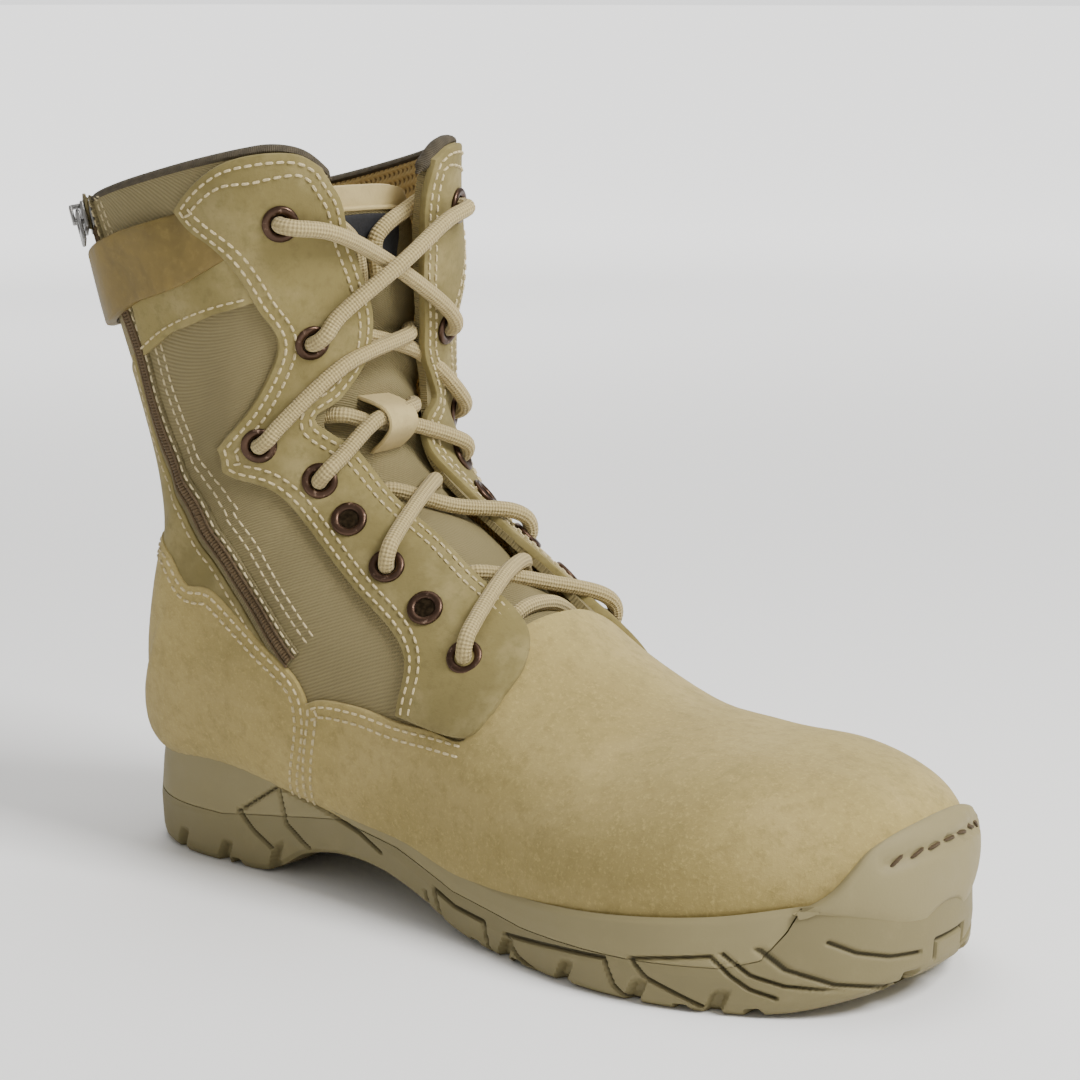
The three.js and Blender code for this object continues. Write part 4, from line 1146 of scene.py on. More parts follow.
class BOOT_OT_stage(BootOperator, bpy.types.Operator):
    """Floor, backdrop, camera and soft lights"""

    bl_idname = "boot.stage"
    bl_label = "Stage"

    def build(self):
        bpy.ops.object.select_all(action="DESELECT")
        bpy.ops.mesh.primitive_plane_add(size=200, location=(0, 0, -0.0002))
        floor = bpy.context.object
        floor.name = "floor"
        paper = Finish("studio floor", 0.75, Base_Color=FLOOR_COLOUR, Emission_Strength=1.0)
        far = paper.node("ShaderNodeVectorMath", "Value", {"operation": "LENGTH"}, Vector=paper.place())
        near, full, strength = FLOOR_GLOW
        # painted glow: the floor gives off more light the farther it lies from the boot
        paper.drive("Emission Color", far.ramp(near, full) * strength)
        floor.data.materials.append(paper.material)
        floor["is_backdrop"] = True
        bpy.ops.object.camera_add(location=CAMERA_AT)
        camera = bpy.context.object
        aimed(camera, CAMERA_AIM)
        camera.data.lens = LENS
        camera.data.sensor_width = SENSOR
        camera.data.clip_start = 0.01
        bpy.context.scene.camera = camera
        self.world()
        for name, place, size, power in LAMPS:
            bpy.ops.object.light_add(type="AREA", location=place)
            lamp = bpy.context.object
            lamp.name = name + "_light"
            lamp.data.size = size
            lamp.data.energy = power
            aimed(lamp, LAMP_AIM)

    @staticmethod
    def world():
        """Soft light from all round, and a brighter backdrop that only the camera sees."""
        world = bpy.data.worlds.new("studio")
        bpy.context.scene.world = world
        world.use_nodes = True
        tree = world.node_tree
        sky = tree.nodes["Background"]
        sky.inputs["Color"].default_value = SKY_COLOUR
        sky.inputs["Strength"].default_value = SKY_STRENGTH
        backdrop = add_node(tree, "ShaderNodeBackground", 0, Strength=BACKDROP_STRENGTH)
        mix = add_node(tree, "ShaderNodeMixShader", 0,
                       Fac=add_node(tree, "ShaderNodeLightPath", "Is Camera Ray"))
        shaders = mix.socket.node.inputs
        tree.links.new(sky.outputs[0], shaders[1])
        tree.links.new(backdrop.socket, shaders[2])
        tree.links.new(mix.socket, tree.nodes["World Output"].inputs["Surface"])


def throat_line(margin=1.0, step=1.8):
    """Both edges of the throat, from the inner rim round the front to the outer rim."""
    inner = [(s, -(mm + margin)) for s, mm in zip(THROAT_S, THROAT_MM[INNER])][::-1]
    outer = [(s, mm + margin) for s, mm in zip(THROAT_S, THROAT_MM[OUTER])]
    return [even(spline(inner, 300), step), even(spline([inner[-1], outer[0]], 20), step),
            even(spline(outer, 300), step)]


class BOOT_OT_upper(BootOperator, bpy.types.Operator):
    """Hollow nylon shell with its mesh lining, open at throat and collar"""

    bl_idname = "boot.upper"
    bl_label = "Upper shell"

    def build(self):
        start = 0.012
        toe = pairs(start, np.linspace(-1, 1, 30))
        toe[:, 1] *= np.where(toe[:, 1] < 0, LAST.width(start, INNER), LAST.width(start, OUTER))
        rims = {side: pairs(1.0, side * np.linspace(LAST.width(1, side), THROAT_MM[side][-1] + 1, 60))
                for side in (INNER, OUTER)}
        throat = throat_line()
        parts = [even(toe, 2.5), even(edge_curve(OUTER, start, 1.0, 260), 2.2), even(rims[OUTER], 1.8),
                 throat[2][::-1], throat[1][::-1], throat[0][::-1], even(rims[INNER][::-1], 1.8),
                 even(edge_curve(INNER, 1.0, start, 260), 2.2)]
        ring = np.concatenate([part[:-1] for part in parts])
        tags = np.concatenate([np.full(len(part) - 1, k) for k, part in enumerate(parts)])
        seam = np.isin(tags, (1, 7)) & (ring[:, 0] >= SEAM_START + 0.004)
        cloud = SPREAD[(SPREAD[:, 0] > start + 0.002) & (SPREAD[:, 0] < 0.998)]
        points, triangles, rim = fill(flat(ring), spread_inside(ring, cloud, 1.4, on))
        places = unflat(points)
        shape = Shape()
        skin = shape.add(on(places), uv=points)
        lining = shape.add(bare(places, 0.05 - wall_at(places[:, 0])), uv=points)
        shape.sheet(triangles, skin)
        shape.sheet(triangles, lining, kind=1, down=True)
        shape.strip(skin + rim, lining + rim, skip=np.flatnonzero(seam & np.roll(seam, -1)))
        finish_piece("upper_shell", shape, "nylon lining", "upper", sharp=50, merge=0.02)


class BOOT_OT_vamp(BootOperator, bpy.types.Operator):
    """Suede toe with the wings that run back along the sole"""

    bl_idname = "boot.vamp"
    bl_label = "Vamp"

    def build(self):
        shape, seams = Shape(), Shape()
        low = 0.075
        tops, rears = {}, {}
        for side in (INNER, OUTER):
            middle = [(0.402, 0), (0.402, side * 18), (0.398, side * 30)]
            tops[side] = np.concatenate([middle, seen(side, WING_TOP)[1:]])
            rears[side] = to_edge(side, seen(side, WING_REAR))
        toe = pairs(low, [-LAST.width(low, INNER), -30, 0, 30, LAST.width(low, OUTER)])
        ring = loop_of((spline(tops[INNER], 300), 1.5), (spline(rears[INNER], 60), 1.5),
                       (edge_curve(INNER, rears[INNER][-1][0], low), 2.0), (spline(toe, 200), 2.0),
                       (edge_curve(OUTER, low, rears[OUTER][-1][0]), 2.0),
                       (spline(rears[OUTER][::-1], 60), 1.5), (spline(tops[OUTER][::-1], 300), 1.5))
        panel(shape, ring, UNDER, mm_of("vamp"), mm_of("edge"))
        finish_piece("vamp", shape, "suede")
        for side in (INNER, OUTER):
            path = np.concatenate([spline(tops[side][3:], 200), spline(rears[side], 60)[1:]])
            for inset in INSETS:
                sew(seams, path, mm_of("vamp") + ON_TOP, -side * inset)
        finish_piece("vamp_stitching", seams, "thread")


class BOOT_OT_counter(BootOperator, bpy.types.Operator):
    """Suede heel counter and backstay"""

    bl_idname = "boot.counter"
    bl_label = "Heel counter and backstay"

    def build(self):
        shape, seams, stay, lines = Shape(), Shape(), Shape(), Shape()
        for side in (INNER, OUTER):
            front = to_edge(side, seen(side, COUNTER_FRONT))
            seam_s = self.seam_station(104)
            top = np.array([(seam_s, side * LAST.width(seam_s, side)), *seen(side, [(-10, 103)]),
                            *seen(side, [(-18, 98)]), front[0]])
            ring = loop_of((spline(top, 80), 1.5), (spline(front, 200), 1.5),
                           (edge_curve(side, front[-1][0], SEAM_START), 2),
                           (edge_curve(side, SEAM_START, seam_s), 2))
            panel(shape, ring, UNDER, mm_of("vamp"), mm_of("edge"))
            path = np.concatenate([spline(top[1:], 60), spline(front, 200)[1:]])
            for inset in INSETS:
                sew(seams, path, mm_of("vamp") + ON_TOP, inward(path, ring) * inset)
        finish_piece("heel_counter", shape, "suede")
        seam_low, seam_top = 0.708, 0.9995
        s = np.linspace(seam_low, seam_top, 90)
        for side in (INNER, OUTER):
            back = side * LAST.width(s, side)
            mm = back - side * BACKSTAY_HALF * (0.72 + 0.28 * smooth(0.7, 0.8, s))
            path = pairs(s, mm)
            low, high = (pairs(seam, np.linspace(*ends, 8)) for seam, ends in (
                (seam_low, (back[0], mm[0])), (seam_top, (mm[-1], back[-1]))))
            sides = [low, even(path, 1.8), high, even(pairs(s, back)[::-1], 1.8)]
            ring = oriented(np.concatenate([part[:-1] for part in sides]))
            panel(stay, ring, UNDER, 2.6, 0.6)
            sew(seams, path, 2.65, inward(path, ring) * 1.8)
            tube(lines, on(even(path, 2.0), 1.7), 0.55, 6)
        finish_piece("backstay", stay, "facing")
        finish_piece("backstay_piping", lines, "seam")
        finish_piece("counter_stitching", seams, "thread")

    @staticmethod
    def seam_station(height):
        s = np.linspace(0.71, 1, 200)
        return float(np.interp(height, LAST.at(s, LAST.width(s, OUTER))[:, 2], s))


class BOOT_OT_facings(BootOperator, bpy.types.Operator):
    """Nubuck lace facings with their ears and double stitching"""

    bl_idname = "boot.facings"
    bl_label = "Lace facings"

    def build(self):
        shape, seams = Shape(), Shape()
        height = mm_of("facing")

        def high(places):
            return height + 0.9 * (1 - smooth(0.40, 0.435, places[:, 0]))

        for side in (INNER, OUTER):
            shift = 8 if side == OUTER else 0
            rim_mm = THROAT_MM[side][-1]
            top = mirrored(side, [(0.972, 71.5 - shift), (0.985, 62 - shift), (0.9955, 52 - shift),
                                  (0.9965, rim_mm + 4), (0.988, rim_mm - 7), (0.972, rim_mm - 14)])
            front = [top[-1], *mirrored(side, FACING_FRONT[side][1:] + FACING_LOW[side][1:])]
            low_s, low_mm = (0.430, 58) if side == INNER else (0.410, 65)
            foot = [front[-1], (front[-1][0] + 0.006, front[-1][1] + side * 10), (low_s, side * low_mm)]
            wing = rear_of(side, FACING_WING[::-1])
            wing[0] = foot[-1]
            rear = rear_of(side, FACING_REAR[::-1])
            rear[-1] = top[0]
            ear = spline([wing[-1], (0.748, 1.02 * wing[-1][1]), rear[0]], 30)
            curves = [spline(curve, 300) for curve in (top, front, foot, wing)]
            ring = loop_of(*((curve, 1.5) for curve in (*curves, ear, spline(rear, 300))))
            panel(shape, ring, UNDER, high, mm_of("edge"))
            line = even(np.concatenate([curves[3], ear[1:], spline(rear, 300)[1:], curves[0][1:],
                                        spline(front, 500)[1:]]), 1.0)
            for _ in range(3):
                line[1:-1] = 0.5 * line[1:-1] + 0.25 * (line[:-2] + line[2:])
            sign = inward(line, ring)
            for inset in (2.1, 4.9):
                sew(seams, line, height + 0.12, sign * inset)
        finish_piece("lace_facings", shape, "facing")
        finish_piece("facing_stitching", seams, "thread")


class BOOT_OT_collar(BootOperator, bpy.types.Operator):
    """Woven binding round the collar and the stitched collar strip"""

    bl_idname = "boot.collar"
    bl_label = "Collar binding"

    def build(self):
        shape, seams = Shape(), Shape()
        inner, outer = LAST.width(1, INNER), LAST.width(1, OUTER)
        inner_top, outer_top = THROAT_MM[INNER][-1], THROAT_MM[OUTER][-1]
        front = spline([(0.955, -inner_top + 18.5), (0.968, -inner_top + 15), (0.986, -inner_top + 8),
                        (0.9985, -inner_top - 2), (1.0, -inner_top - 10)], 60)
        end = spline([(1.0, outer_top + 10), (0.9985, outer_top + 2), (0.986, outer_top - 8),
                      (0.968, outer_top - 14), (0.955, outer_top - 17)], 60)
        back = np.concatenate([np.linspace(-inner_top - 10, -inner, 90),
                               np.linspace(outer, outer_top + 10, 90)[1:]])
        places = np.concatenate([front[:-1], pairs(1.0, back), end[1:]])
        wall = wall_at(places[:, 0])
        path = bare(places, -wall / 2)
        path[:, 2] += 0.2
        index = np.arange(len(places))
        ends = smooth(0, 9, index) * smooth(0, 9, index[::-1])
        tube(shape, path, (wall / 2 + 0.45) * (0.35 + 0.65 * ends), 12, flatten=0.62,
             up=unit(np.cross(outward(places), np.gradient(path, axis=0))))
        finish_piece("collar_binding", shape, "binding")
        for side in (INNER, OUTER):
            start = 56 if side == INNER else 49
            line = pairs(np.linspace(0.964, 0.958, 60),
                         side * np.linspace(start + 18, LAST.width(0.96, side) - BACKSTAY_HALF, 60))
            sew(seams, line, 0.05, radius=0.36)
        finish_piece("collar_stitching", seams, "thread")


def eyelet_matrix(row, side, height):
    """Frame of an eyelet: z out of the leather."""
    place = np.array([[EYELET_S[row], side * EYELET_MM[side][row]]], float)
    centre, out = on(place, height)[0], outward(place)[0]
    up = (bare(place + (0.01, 0)) - bare(place - (0.01, 0)))[0]
    up = unit(up - out * np.dot(up, out))
    return frame_matrix(np.cross(up, out), up, out, centre)


def frame_matrix(x, y, z, centre):
    """Blender matrix of a frame whose centre is in mm."""
    matrix = Matrix([tuple(axis) for axis in (x, y, z)]).transposed().to_4x4()
    matrix.translation = Vector(centre * MM)
    return matrix


def baked(thing, matrix):
    """Puts the active object in a frame and makes that part of its mesh."""
    thing.matrix_world = matrix
    bpy.ops.object.transform_apply(location=True, rotation=True, scale=True)


def joined(things):
    """One object made of several."""
    bpy.ops.object.select_all(action="DESELECT")
    for thing in things:
        thing.select_set(True)
    bpy.context.view_layer.objects.active = things[0]
    bpy.ops.object.join()
    return things[0]


# Rings of an eyelet: segments of the tube, both radii, height and upward stretch, in metres.
FLANGE = (12, 0.00415, 0.00125, 0, 0.66)
BARREL = (8, 0.0033, 0.0004, -0.0022, 6.0)
# HOLE_UP is the height of the disc of painted shade in each eyelet
FLANGE_UP, HOLE_UP = 0.35, 0.12         # their heights in mm over the facing


class BOOT_OT_eyelets(BootOperator, bpy.types.Operator):
    """Sixteen rolled metal eyelets"""

    bl_idname = "boot.eyelets"
    bl_label = "Eyelets"

    def build(self):
        for row in range(8):
            for side in (INNER, OUTER):
                ring = joined([self.torus(*FLANGE), self.torus(*BARREL)])
                baked(ring, eyelet_matrix(row, side, mm_of("facing") + FLANGE_UP))
                bpy.ops.object.shade_smooth()
                ring.name = f"eyelet_ring_{SIDE_NAME[side]}_{row + 1}"
                ring.data.materials.append(finish("brass"))
                self.hole(row, side)
                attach(ring, BODY)
                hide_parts(f"eyelet_{SIDE_NAME[side]}_{row + 1}")

    @staticmethod
    def torus(segments, major, minor, height, stretch):
        """Ring in metres at a height, stretched upwards."""
        bpy.ops.mesh.primitive_torus_add(major_segments=32, minor_segments=segments, major_radius=major,
                                         minor_radius=minor, location=(0, 0, height))
        ring = bpy.context.object
        ring.scale = (1, 1, stretch)
        bpy.ops.object.transform_apply(location=True, rotation=False, scale=True)
        return ring

    @staticmethod
    def hole(row, side):
        """Near-black disc just under an eyelet's flange: painted shade in the eyelet's hollow."""
        bpy.ops.mesh.primitive_cylinder_add(vertices=24, radius=0.0031, depth=0.0005)
        disc = bpy.context.object
        baked(disc, eyelet_matrix(row, side, mm_of("facing") + HOLE_UP))
        disc.name = f"eyelet_hole_{SIDE_NAME[side]}_{row + 1}"
        disc.data.materials.append(finish("hole"))
        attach(disc, BODY)


# Crossings of the lace: row it leaves, then station, inner and outer mm where it meets the
# other facing, and whether it goes under that facing or into the eyelet from outside.
CROSSINGS = [
    ("lace_cross_5", 8, 0.462, 9.5, 20, True),
    ("lace_cross_4", 6, 0.568, 10.5, 13.5, True),
    ("lace_cross_2", 3, 0.748, 7.5, 15.5, True),
    ("lace_cross_1", 2, 0.925, 37, 29, False),
]
OVER = 5.9                   # lace centre above the base where it crosses leather
HIDDEN = -3.6                # lace centre behind an eyelet
LACE_SIDES = 14
LOOP_S = 0.637
TAILS = {
    "lace_tail_inner": [
        (0.928, -32, 3.4), (0.915, -25, 3.4), (0.897, -18, 3.4), (0.879, -12, 3.4), (0.86, -7.4, 3.4),
        (0.84, -5.6, 3.2), (0.82, -5, 2.6), (0.8, -5, 2.2),
    ],
    "lace_tail_outer": [
        (0.93, 26, 3.4), (0.915, 19, 3.4), (0.897, 12, 3.4), (0.88, 5.5, 3.4), (0.862, 1.4, 3.4),
        (0.842, 1, 3.2), (0.822, 1.4, 2.6), (0.802, 2, 2.2),
    ],
}


def lace_path(places):
    """Lace centreline through (s, mm, height) points."""
    places = np.array(places, float)
    return curve_through(bare(places, places[:, 2]), 1.2)


def out_of_eyelet(row, side, toward_s, toward_mm):
    """First points of a strand that comes up through an eyelet and leans over its flange."""
    s, mm = EYELET_S[row - 1], side * EYELET_MM[side][row - 1]
    ds, dm = toward_s - s, toward_mm - mm
    reach = math.hypot(ds * 230, dm)
    ds, dm = ds / reach, dm / reach
    return [(s, mm, HIDDEN), (s - ds * 0.4, mm - dm * 0.4, 0.6), (s + ds * 0.3, mm + dm * 0.3, 3.9),
            (s + ds * 3.4, mm + dm * 3.4, OVER + 0.25), (s + ds * 8, mm + dm * 8, OVER - 0.4)]


class BOOT_OT_laces(BootOperator, bpy.types.Operator):
    """Round braided lace, its crossings and its two ends"""

    bl_idname = "boot.laces"
    bl_label = "Laces"

    def build(self):
        radius = mm_of("lace") / 2
        for name, row, s_end, inner, outer, under in CROSSINGS:
            shape = Shape()
            for side in (INNER, OUTER):
                s0 = EYELET_S[row - 1]
                end = -side * (outer if side == INNER else inner)
                start = side * EYELET_MM[side][row - 1]
                lower = side == OUTER
                mid_s, mid = lerp(s0, s_end, 0.5), lerp(start, end, 0.5)
                points = out_of_eyelet(row, side, s_end, end)
                if under:
                    points += [(mid_s, mid, -1.6 if lower else 3.4),
                               (s_end - 0.004, end * 0.72, -3.0 if lower else -1.0),
                               (s_end, end, -4.6),
                               (s_end + 0.003, end - side * 4, -5.6),
                               (s_end + 0.006, end - side * 9, -5.6)]
                else:
                    points += [(mid_s, mid, 2.6 if lower else 7.2),
                               (lerp(s0, s_end, 0.85), lerp(start, end, 0.80), OVER - 0.2),
                               (s_end - 0.004, end + side * 2.6, OVER + 0.2),
                               (s_end, end, 3.9), (s_end, end - side * 0.3, 0.6), (s_end, end, HIDDEN)]
                tube(shape, lace_path(points), radius, LACE_SIDES)
            finish_piece(name + "_cord", shape, "lace", name)
        self.loop_strands(radius)
        bar = Shape()
        tube(bar, lace_path([(0.412, -30, -5.2), (0.413, -21, -5.2), (0.415, -13, -3.9), (0.417, -4, -2.2),
                             (0.417, 6, -2.0), (0.416, 15, -3.4), (0.414, 24, -5.2), (0.412, 36, -5.2)]),
             radius, LACE_SIDES)
        finish_piece("lace_bar_cord", bar, "lace", "lace_bar")
        for name, route in TAILS.items():
            self.tail(name, np.array(route), radius)

    @staticmethod
    def loop_strands(radius):
        shape = Shape()
        for side in (INNER, OUTER):
            end = -side * 20
            height = 0.6 if side == OUTER else 5.2
            shift = -0.004 if side == OUTER else 0.006
            points = out_of_eyelet(4, side, LOOP_S, 0) + [
                (LOOP_S + shift - 0.003, side * 7, height + 0.6),
                (LOOP_S + shift, 0, height),
                (LOOP_S + shift + 0.008, -side * 7, height - 0.8),
                (0.656, end * 0.68, -0.6),
                (0.662, end * 0.9, -3.8),
                (0.668, end * 1.2, -5.6),
                (0.672, end * 1.5, -5.8),
            ]
            tube(shape, lace_path(points), radius, LACE_SIDES)
        finish_piece("lace_cross_3_cord", shape, "lace", "lace_cross_3")

    @staticmethod
    def tail(name, route, radius):
        """One end of the lace, along the same centreline as in the CAD source."""
        path = curve_through(bare(route, -wall_at(route[:, 0]) - route[:, 2]), 1.5)
        shape = Shape()
        tube(shape, path, radius, LACE_SIDES)
        piece = finish_piece(name + "_cord", shape, "lace", name)


# ---- sole ----
SEAM_YZ = [(26, 17), (0, 16), (-30, 16), (-55, 20), (-80, 24), (-105, 21), (-130, 14), (-160, 11.5),
           (-200, 12), (-225, 13), (-234, 16), (-240, 24), (-245, 34), (-249, 42), (-254, 48)]
TREAD_GROOVES = [-232, -214, -178, -158, -140, -34, 6]
NOTCHES = [-222, -200, -176, -152, -50, -28, -8]
SIDE_GROOVES = [
    [(-36, 18), (-53, 29)],
    [(-36.5, 18.5), (-43, 13), (-50, 9)],
    [(-53, 29), (-57, 18), (-66, 12)],
    [(-53, 29), (-73, 26), (-89, 22), (-98, 18)],
    [(-118, 11), (-120, 2)],
    [(-122, 13), (-125, 4), (-136, 0)],
    [(-122, 13), (-131.5, 10), (-144.5, 9)],
    [(-144.5, 9), (-146, 2), (-148, 0)],
    [(-154, 8), (-159, 3), (-168, 0)],
    [(-154, 8), (-176, 10), (-192, 11)],
    [(-192, 11), (-195, 4), (-200, 0)],
    [(-200, 12.5), (-205, 8), (-212.5, 5), (-220, 2)],
    [(-200, 12.5), (-222, 16)],
    [(-222, 16), (-227, 11.5), (-232, 8), (-238, 6)],
    [(-225, 17), (-232, 12), (-240, 9.5), (-255, 8)],
]
FRONT_GROOVES = [
    [(53, 11), (44.5, 9), (35, 8), (19, 8), (4, 8), (-5, 8), (-20, 8), (-32, 10), (-40, 14), (-43, 19)],
    [(40, 16), (30, 14.5), (19, 14), (12, 12.5)],
    [(-11, 16), (-20, 16.5), (-28, 18.5), (-33, 21.5)],
    [(-4.6, 13), (-4.6, 18), (10.6, 18), (10.6, 13)],
]
GROOVE_DEPTH = 1.3
PER_SIDE = 560                # points of a ring round the sole on each side


def line_distance(points, line):
    """Distance of flat points from a polyline."""
    line = np.asarray(line, float)
    best = np.full(len(points), np.inf)
    for a, b in zip(line[:-1], line[1:]):
        d = b - a
        t = np.clip(((points - a) @ d) / np.dot(d, d), 0, 1)
        best = np.minimum(best, np.linalg.norm(points - a - t[:, None] * d, axis=1))
    return best


def seam_at(y):
    keys, values = zip(*SEAM_YZ[::-1])
    return np.interp(y, keys, values)


def ring_y(grow):
    angle = math.pi * np.arange(2 * PER_SIDE) / PER_SIDE
    return lerp(TOE_Y - grow, HEEL_Y + grow, (1 - np.cos(angle)) / 2)


RING_SIDE = np.where(np.arange(2 * PER_SIDE) <= PER_SIDE, OUTER, INNER)


def sole_ring(grow, z_of):
    """Closed ring of points at an even distance from the featherline. grow is a number."""
    y = ring_y(grow)
    half = np.where(RING_SIDE == OUTER, plan(y, OUTER, grow), plan(y, INNER, grow))
    half[[0, PER_SIDE]] = 0
    return np.stack([RING_SIDE * half, y, z_of(y)], axis=1)


def edge_lift(y):
    """Height of the tread edge over the plane at grooves across the sole."""
    lift = np.zeros(len(y))
    for g in TREAD_GROOVES:
        lift = np.maximum(lift, 3.0 * (1 - smooth(1.3, 2.4, np.abs(y - g))))
    return lift


def wall_point(t):
    """Ring of the sidewall at share t of its height, before grooves."""
    swell = float(np.interp(t, [0, 0.05, 0.12, 0.4, 0.75, 0.93, 1.0], [3.4, 4.9, 5.4, 5.8, 4.9, 4.2, 3.3]))
    toe_swell = float(np.interp(t, [0, 0.05, 0.12, 0.4, 0.8, 1.0], [3.2, 4.9, 5.4, 5.8, 5.4, 5.0]))
    ring, toe = (sole_ring(grow, lambda q: lerp(tread_at(q), lip_at(q), t)) for grow in (swell, toe_swell))
    return lerp(ring, toe, (1 - smooth(-252, -232, ring_y(swell)))[:, None])


def to_centre(points):
    """Level directions from points of the sole's edge towards its long middle line."""
    y = points[:, 1]
    return unit(np.stack([-points[:, 0], np.clip(y, -205, -23) - y, 0 * y], axis=1))


def carve(points):
    """Moves sidewall points inwards at grooves and notches. Also returns the depth of the grooves alone,
    which sets painted shade in the rubber.
    """
    x, y, z = points.T
    depth = np.zeros(len(points))
    towards = to_centre(points)
    side_zone = smooth(0.45, 0.7, np.abs(towards[:, 0]))
    toe_zone = (1 - smooth(-236, -222, y)) * smooth(0.3, 0.5, np.abs(towards[:, 1]))
    for lines, axes, reach, zone in ((SIDE_GROOVES, [1, 2], 0.85, side_zone),
                                     (FRONT_GROOVES, [0, 2], 1.1, toe_zone)):
        for line in lines:
            off = line_distance(points[:, axes], line)
            depth = np.maximum(depth, GROOVE_DEPTH * (1 - smooth(0.2, reach, off)) * zone)
    # groove depth for the painted shade in the grooves; the notches and slots below get none
    shown = depth.copy()
    over = z - tread_at(y)
    for notch in NOTCHES:
        off = np.abs(y - notch + 0.45 * over)
        reach = 1 - smooth(4.5, 8.5, over)
        depth = np.maximum(depth, 2.8 * (1 - smooth(1.2, 2.6, off)) * reach * side_zone)
    for slot_x in (-13, 13):
        off = np.abs(x - slot_x)
        depth = np.maximum(depth, 4.0 * (1 - smooth(2.0, 3.2, off)) * (1 - smooth(9, 12, z))
                           * (1 - smooth(-250, -240, y)))
    return points + towards * depth[:, None], shown


class BOOT_OT_sole(BootOperator, bpy.types.Operator):
    """Lugged rubber outsole and the lighter band above it"""

    bl_idname = "boot.sole"
    bl_label = "Sole"

    def build(self):
        self.outsole()
        self.midsole()
        self.bumper()

    @staticmethod
    def seam_share(y):
        """Share of the wall height at which the seam lies."""
        low, high = tread_at(y), lip_at(y)
        return np.clip((seam_at(y) - low) / (high - low), 0.2, 1.0)

    def wall_rows(self, shares, low_edge, high_edge):
        """Sidewall rings between two lines, given as shares per ring point."""
        levels = 60
        stack = np.stack([wall_point(t) for t in np.linspace(0, 1, levels + 1)])
        k = np.arange(2 * PER_SIDE)
        rows = []
        for share in shares:
            index = lerp(low_edge, high_edge, share) * levels
            i = np.minimum(index.astype(int), levels - 1)
            f = (index - i)[:, None]
            rows.append(stack[i, k] * (1 - f) + stack[i + 1, k] * f)
        return rows

    @staticmethod
    def run(shape, points, depth=None):
        """Adds a ring of points, with groove depth and height as its pattern; the groove depth sets painted
        shade in the rubber.
        """
        uv = None if depth is None else pairs(depth, points[:, 2])
        return shape.add(points, uv) + np.arange(len(points))

    def outsole(self):
        shape = Shape()
        n = 2 * PER_SIDE
        y = ring_y(5.0)
        top = self.seam_share(y) - 0.001
        # painted shade along the outsole's top edge at the toe, given to the rubber as a groove depth
        seam_shade = 0.9 * (1 - smooth(-240, -215, y))
        shares = np.concatenate([np.linspace(0, 0.97, 58), [0.985, 1.0]])
        runs = []
        for share, row in zip(shares, self.wall_rows(shares, np.zeros(n), top)):
            row, depth = carve(row)
            row[:, 2] += edge_lift(row[:, 1]) * (1 - smooth(0.0, 0.16, share))
            # the top row takes the painted shade along the seam
            depth = np.maximum(depth, seam_shade * (share == 1.0))
            runs.append(self.run(shape, row, depth))
        shape.strips(runs)
        self.tread(shape, runs[0])
        cap = sole_ring(-3.0, lambda q: np.minimum(seam_at(q), footbed_at(q)) - 0.5)
        inner = self.run(shape, cap)
        shape.strip(runs[-1], inner)
        self.across(shape, inner)
        finish_piece("rubber_outsole", shape, "rubber", "outsole", sharp=35)

    @staticmethod
    def across(shape, ring):
        """Quads that join the two sides of a ring."""
        n = len(ring)
        shape.cover([(ring[k], ring[k + 1], ring[(n - k - 1) % n], ring[(n - k) % n])
                     for k in range(n // 2)])

    @staticmethod
    def tread(shape, edge):
        """Bottom of the sole with its lugs, between the two sides of the edge ring."""
        columns = 27
        n = len(edge)
        points = np.concatenate(shape.points)
        rows = []
        for k in range(n // 2 + 1):
            right, left = edge[k], edge[(n - k) % n]
            if right == left:
                rows.append([right] * columns)
                continue
            a, b = points[right], points[left]
            t = np.linspace(0, 1, columns)[1:-1]
            line = a + (b - a) * t[:, None]
            x, y = line[:, 0], line[:, 1]
            base = tread_at(y)
            lift = edge_lift(y)
            zigzag = 5 * np.abs(((y / 17) % 2) - 1) - 2.5
            channel = 2.4 * (1 - smooth(1.1, 2.2, np.abs(x - 3 - zigzag)))
            arch = smooth(-136, -128, y) * (1 - smooth(-70, -58, y))
            edge_fade = smooth(0, 0.06, np.minimum(t, 1 - t))
            line[:, 2] = base + np.maximum(lift, channel * (1 - arch)) * edge_fade
            start = shape.add(line)
            rows.append([right, *range(start, start + columns - 2), left])
        for first, second in zip(rows[:-1], rows[1:]):
            for j in range(columns - 1):
                quad = tuple(dict.fromkeys((first[j], first[j + 1], second[j + 1], second[j])))
                if len(quad) > 2:
                    shape.cover([quad])

    def midsole(self):
        shape = Shape()
        n = 2 * PER_SIDE
        y = ring_y(5.0)
        low = np.minimum(self.seam_share(y) + 0.001, 0.985)
        shares = np.concatenate([[0, 0.02, 0.06], np.linspace(0.12, 0.94, 20), [0.97, 1.0]])
        runs = []
        inset = {0: 0.3, 1: 0.08}
        rows = self.wall_rows(shares, low, np.ones(n))
        toe = 1 - smooth(-250, -233, y)
        for k, row in enumerate(rows):
            # the groove depth from carve becomes painted shade in the midsole's grooves
            row, depth = carve(row)
            row = row + to_centre(row) * (inset.get(k, 0) + 1.4 * toe)[:, None]
            runs.append(self.run(shape, row, depth))
        runs.append(self.run(shape, sole_ring(-1.5, lambda q: lip_at(q) - 0.9)))
        bottom = sole_ring(-1.5, lambda q: np.minimum(seam_at(q), lip_at(q) - 2.5) + 0.3)
        runs.append(self.run(shape, bottom))
        shape.strips(runs + runs[:1])
        finish_piece("midsole_band", shape, "midsole", "midsole", sharp=35)

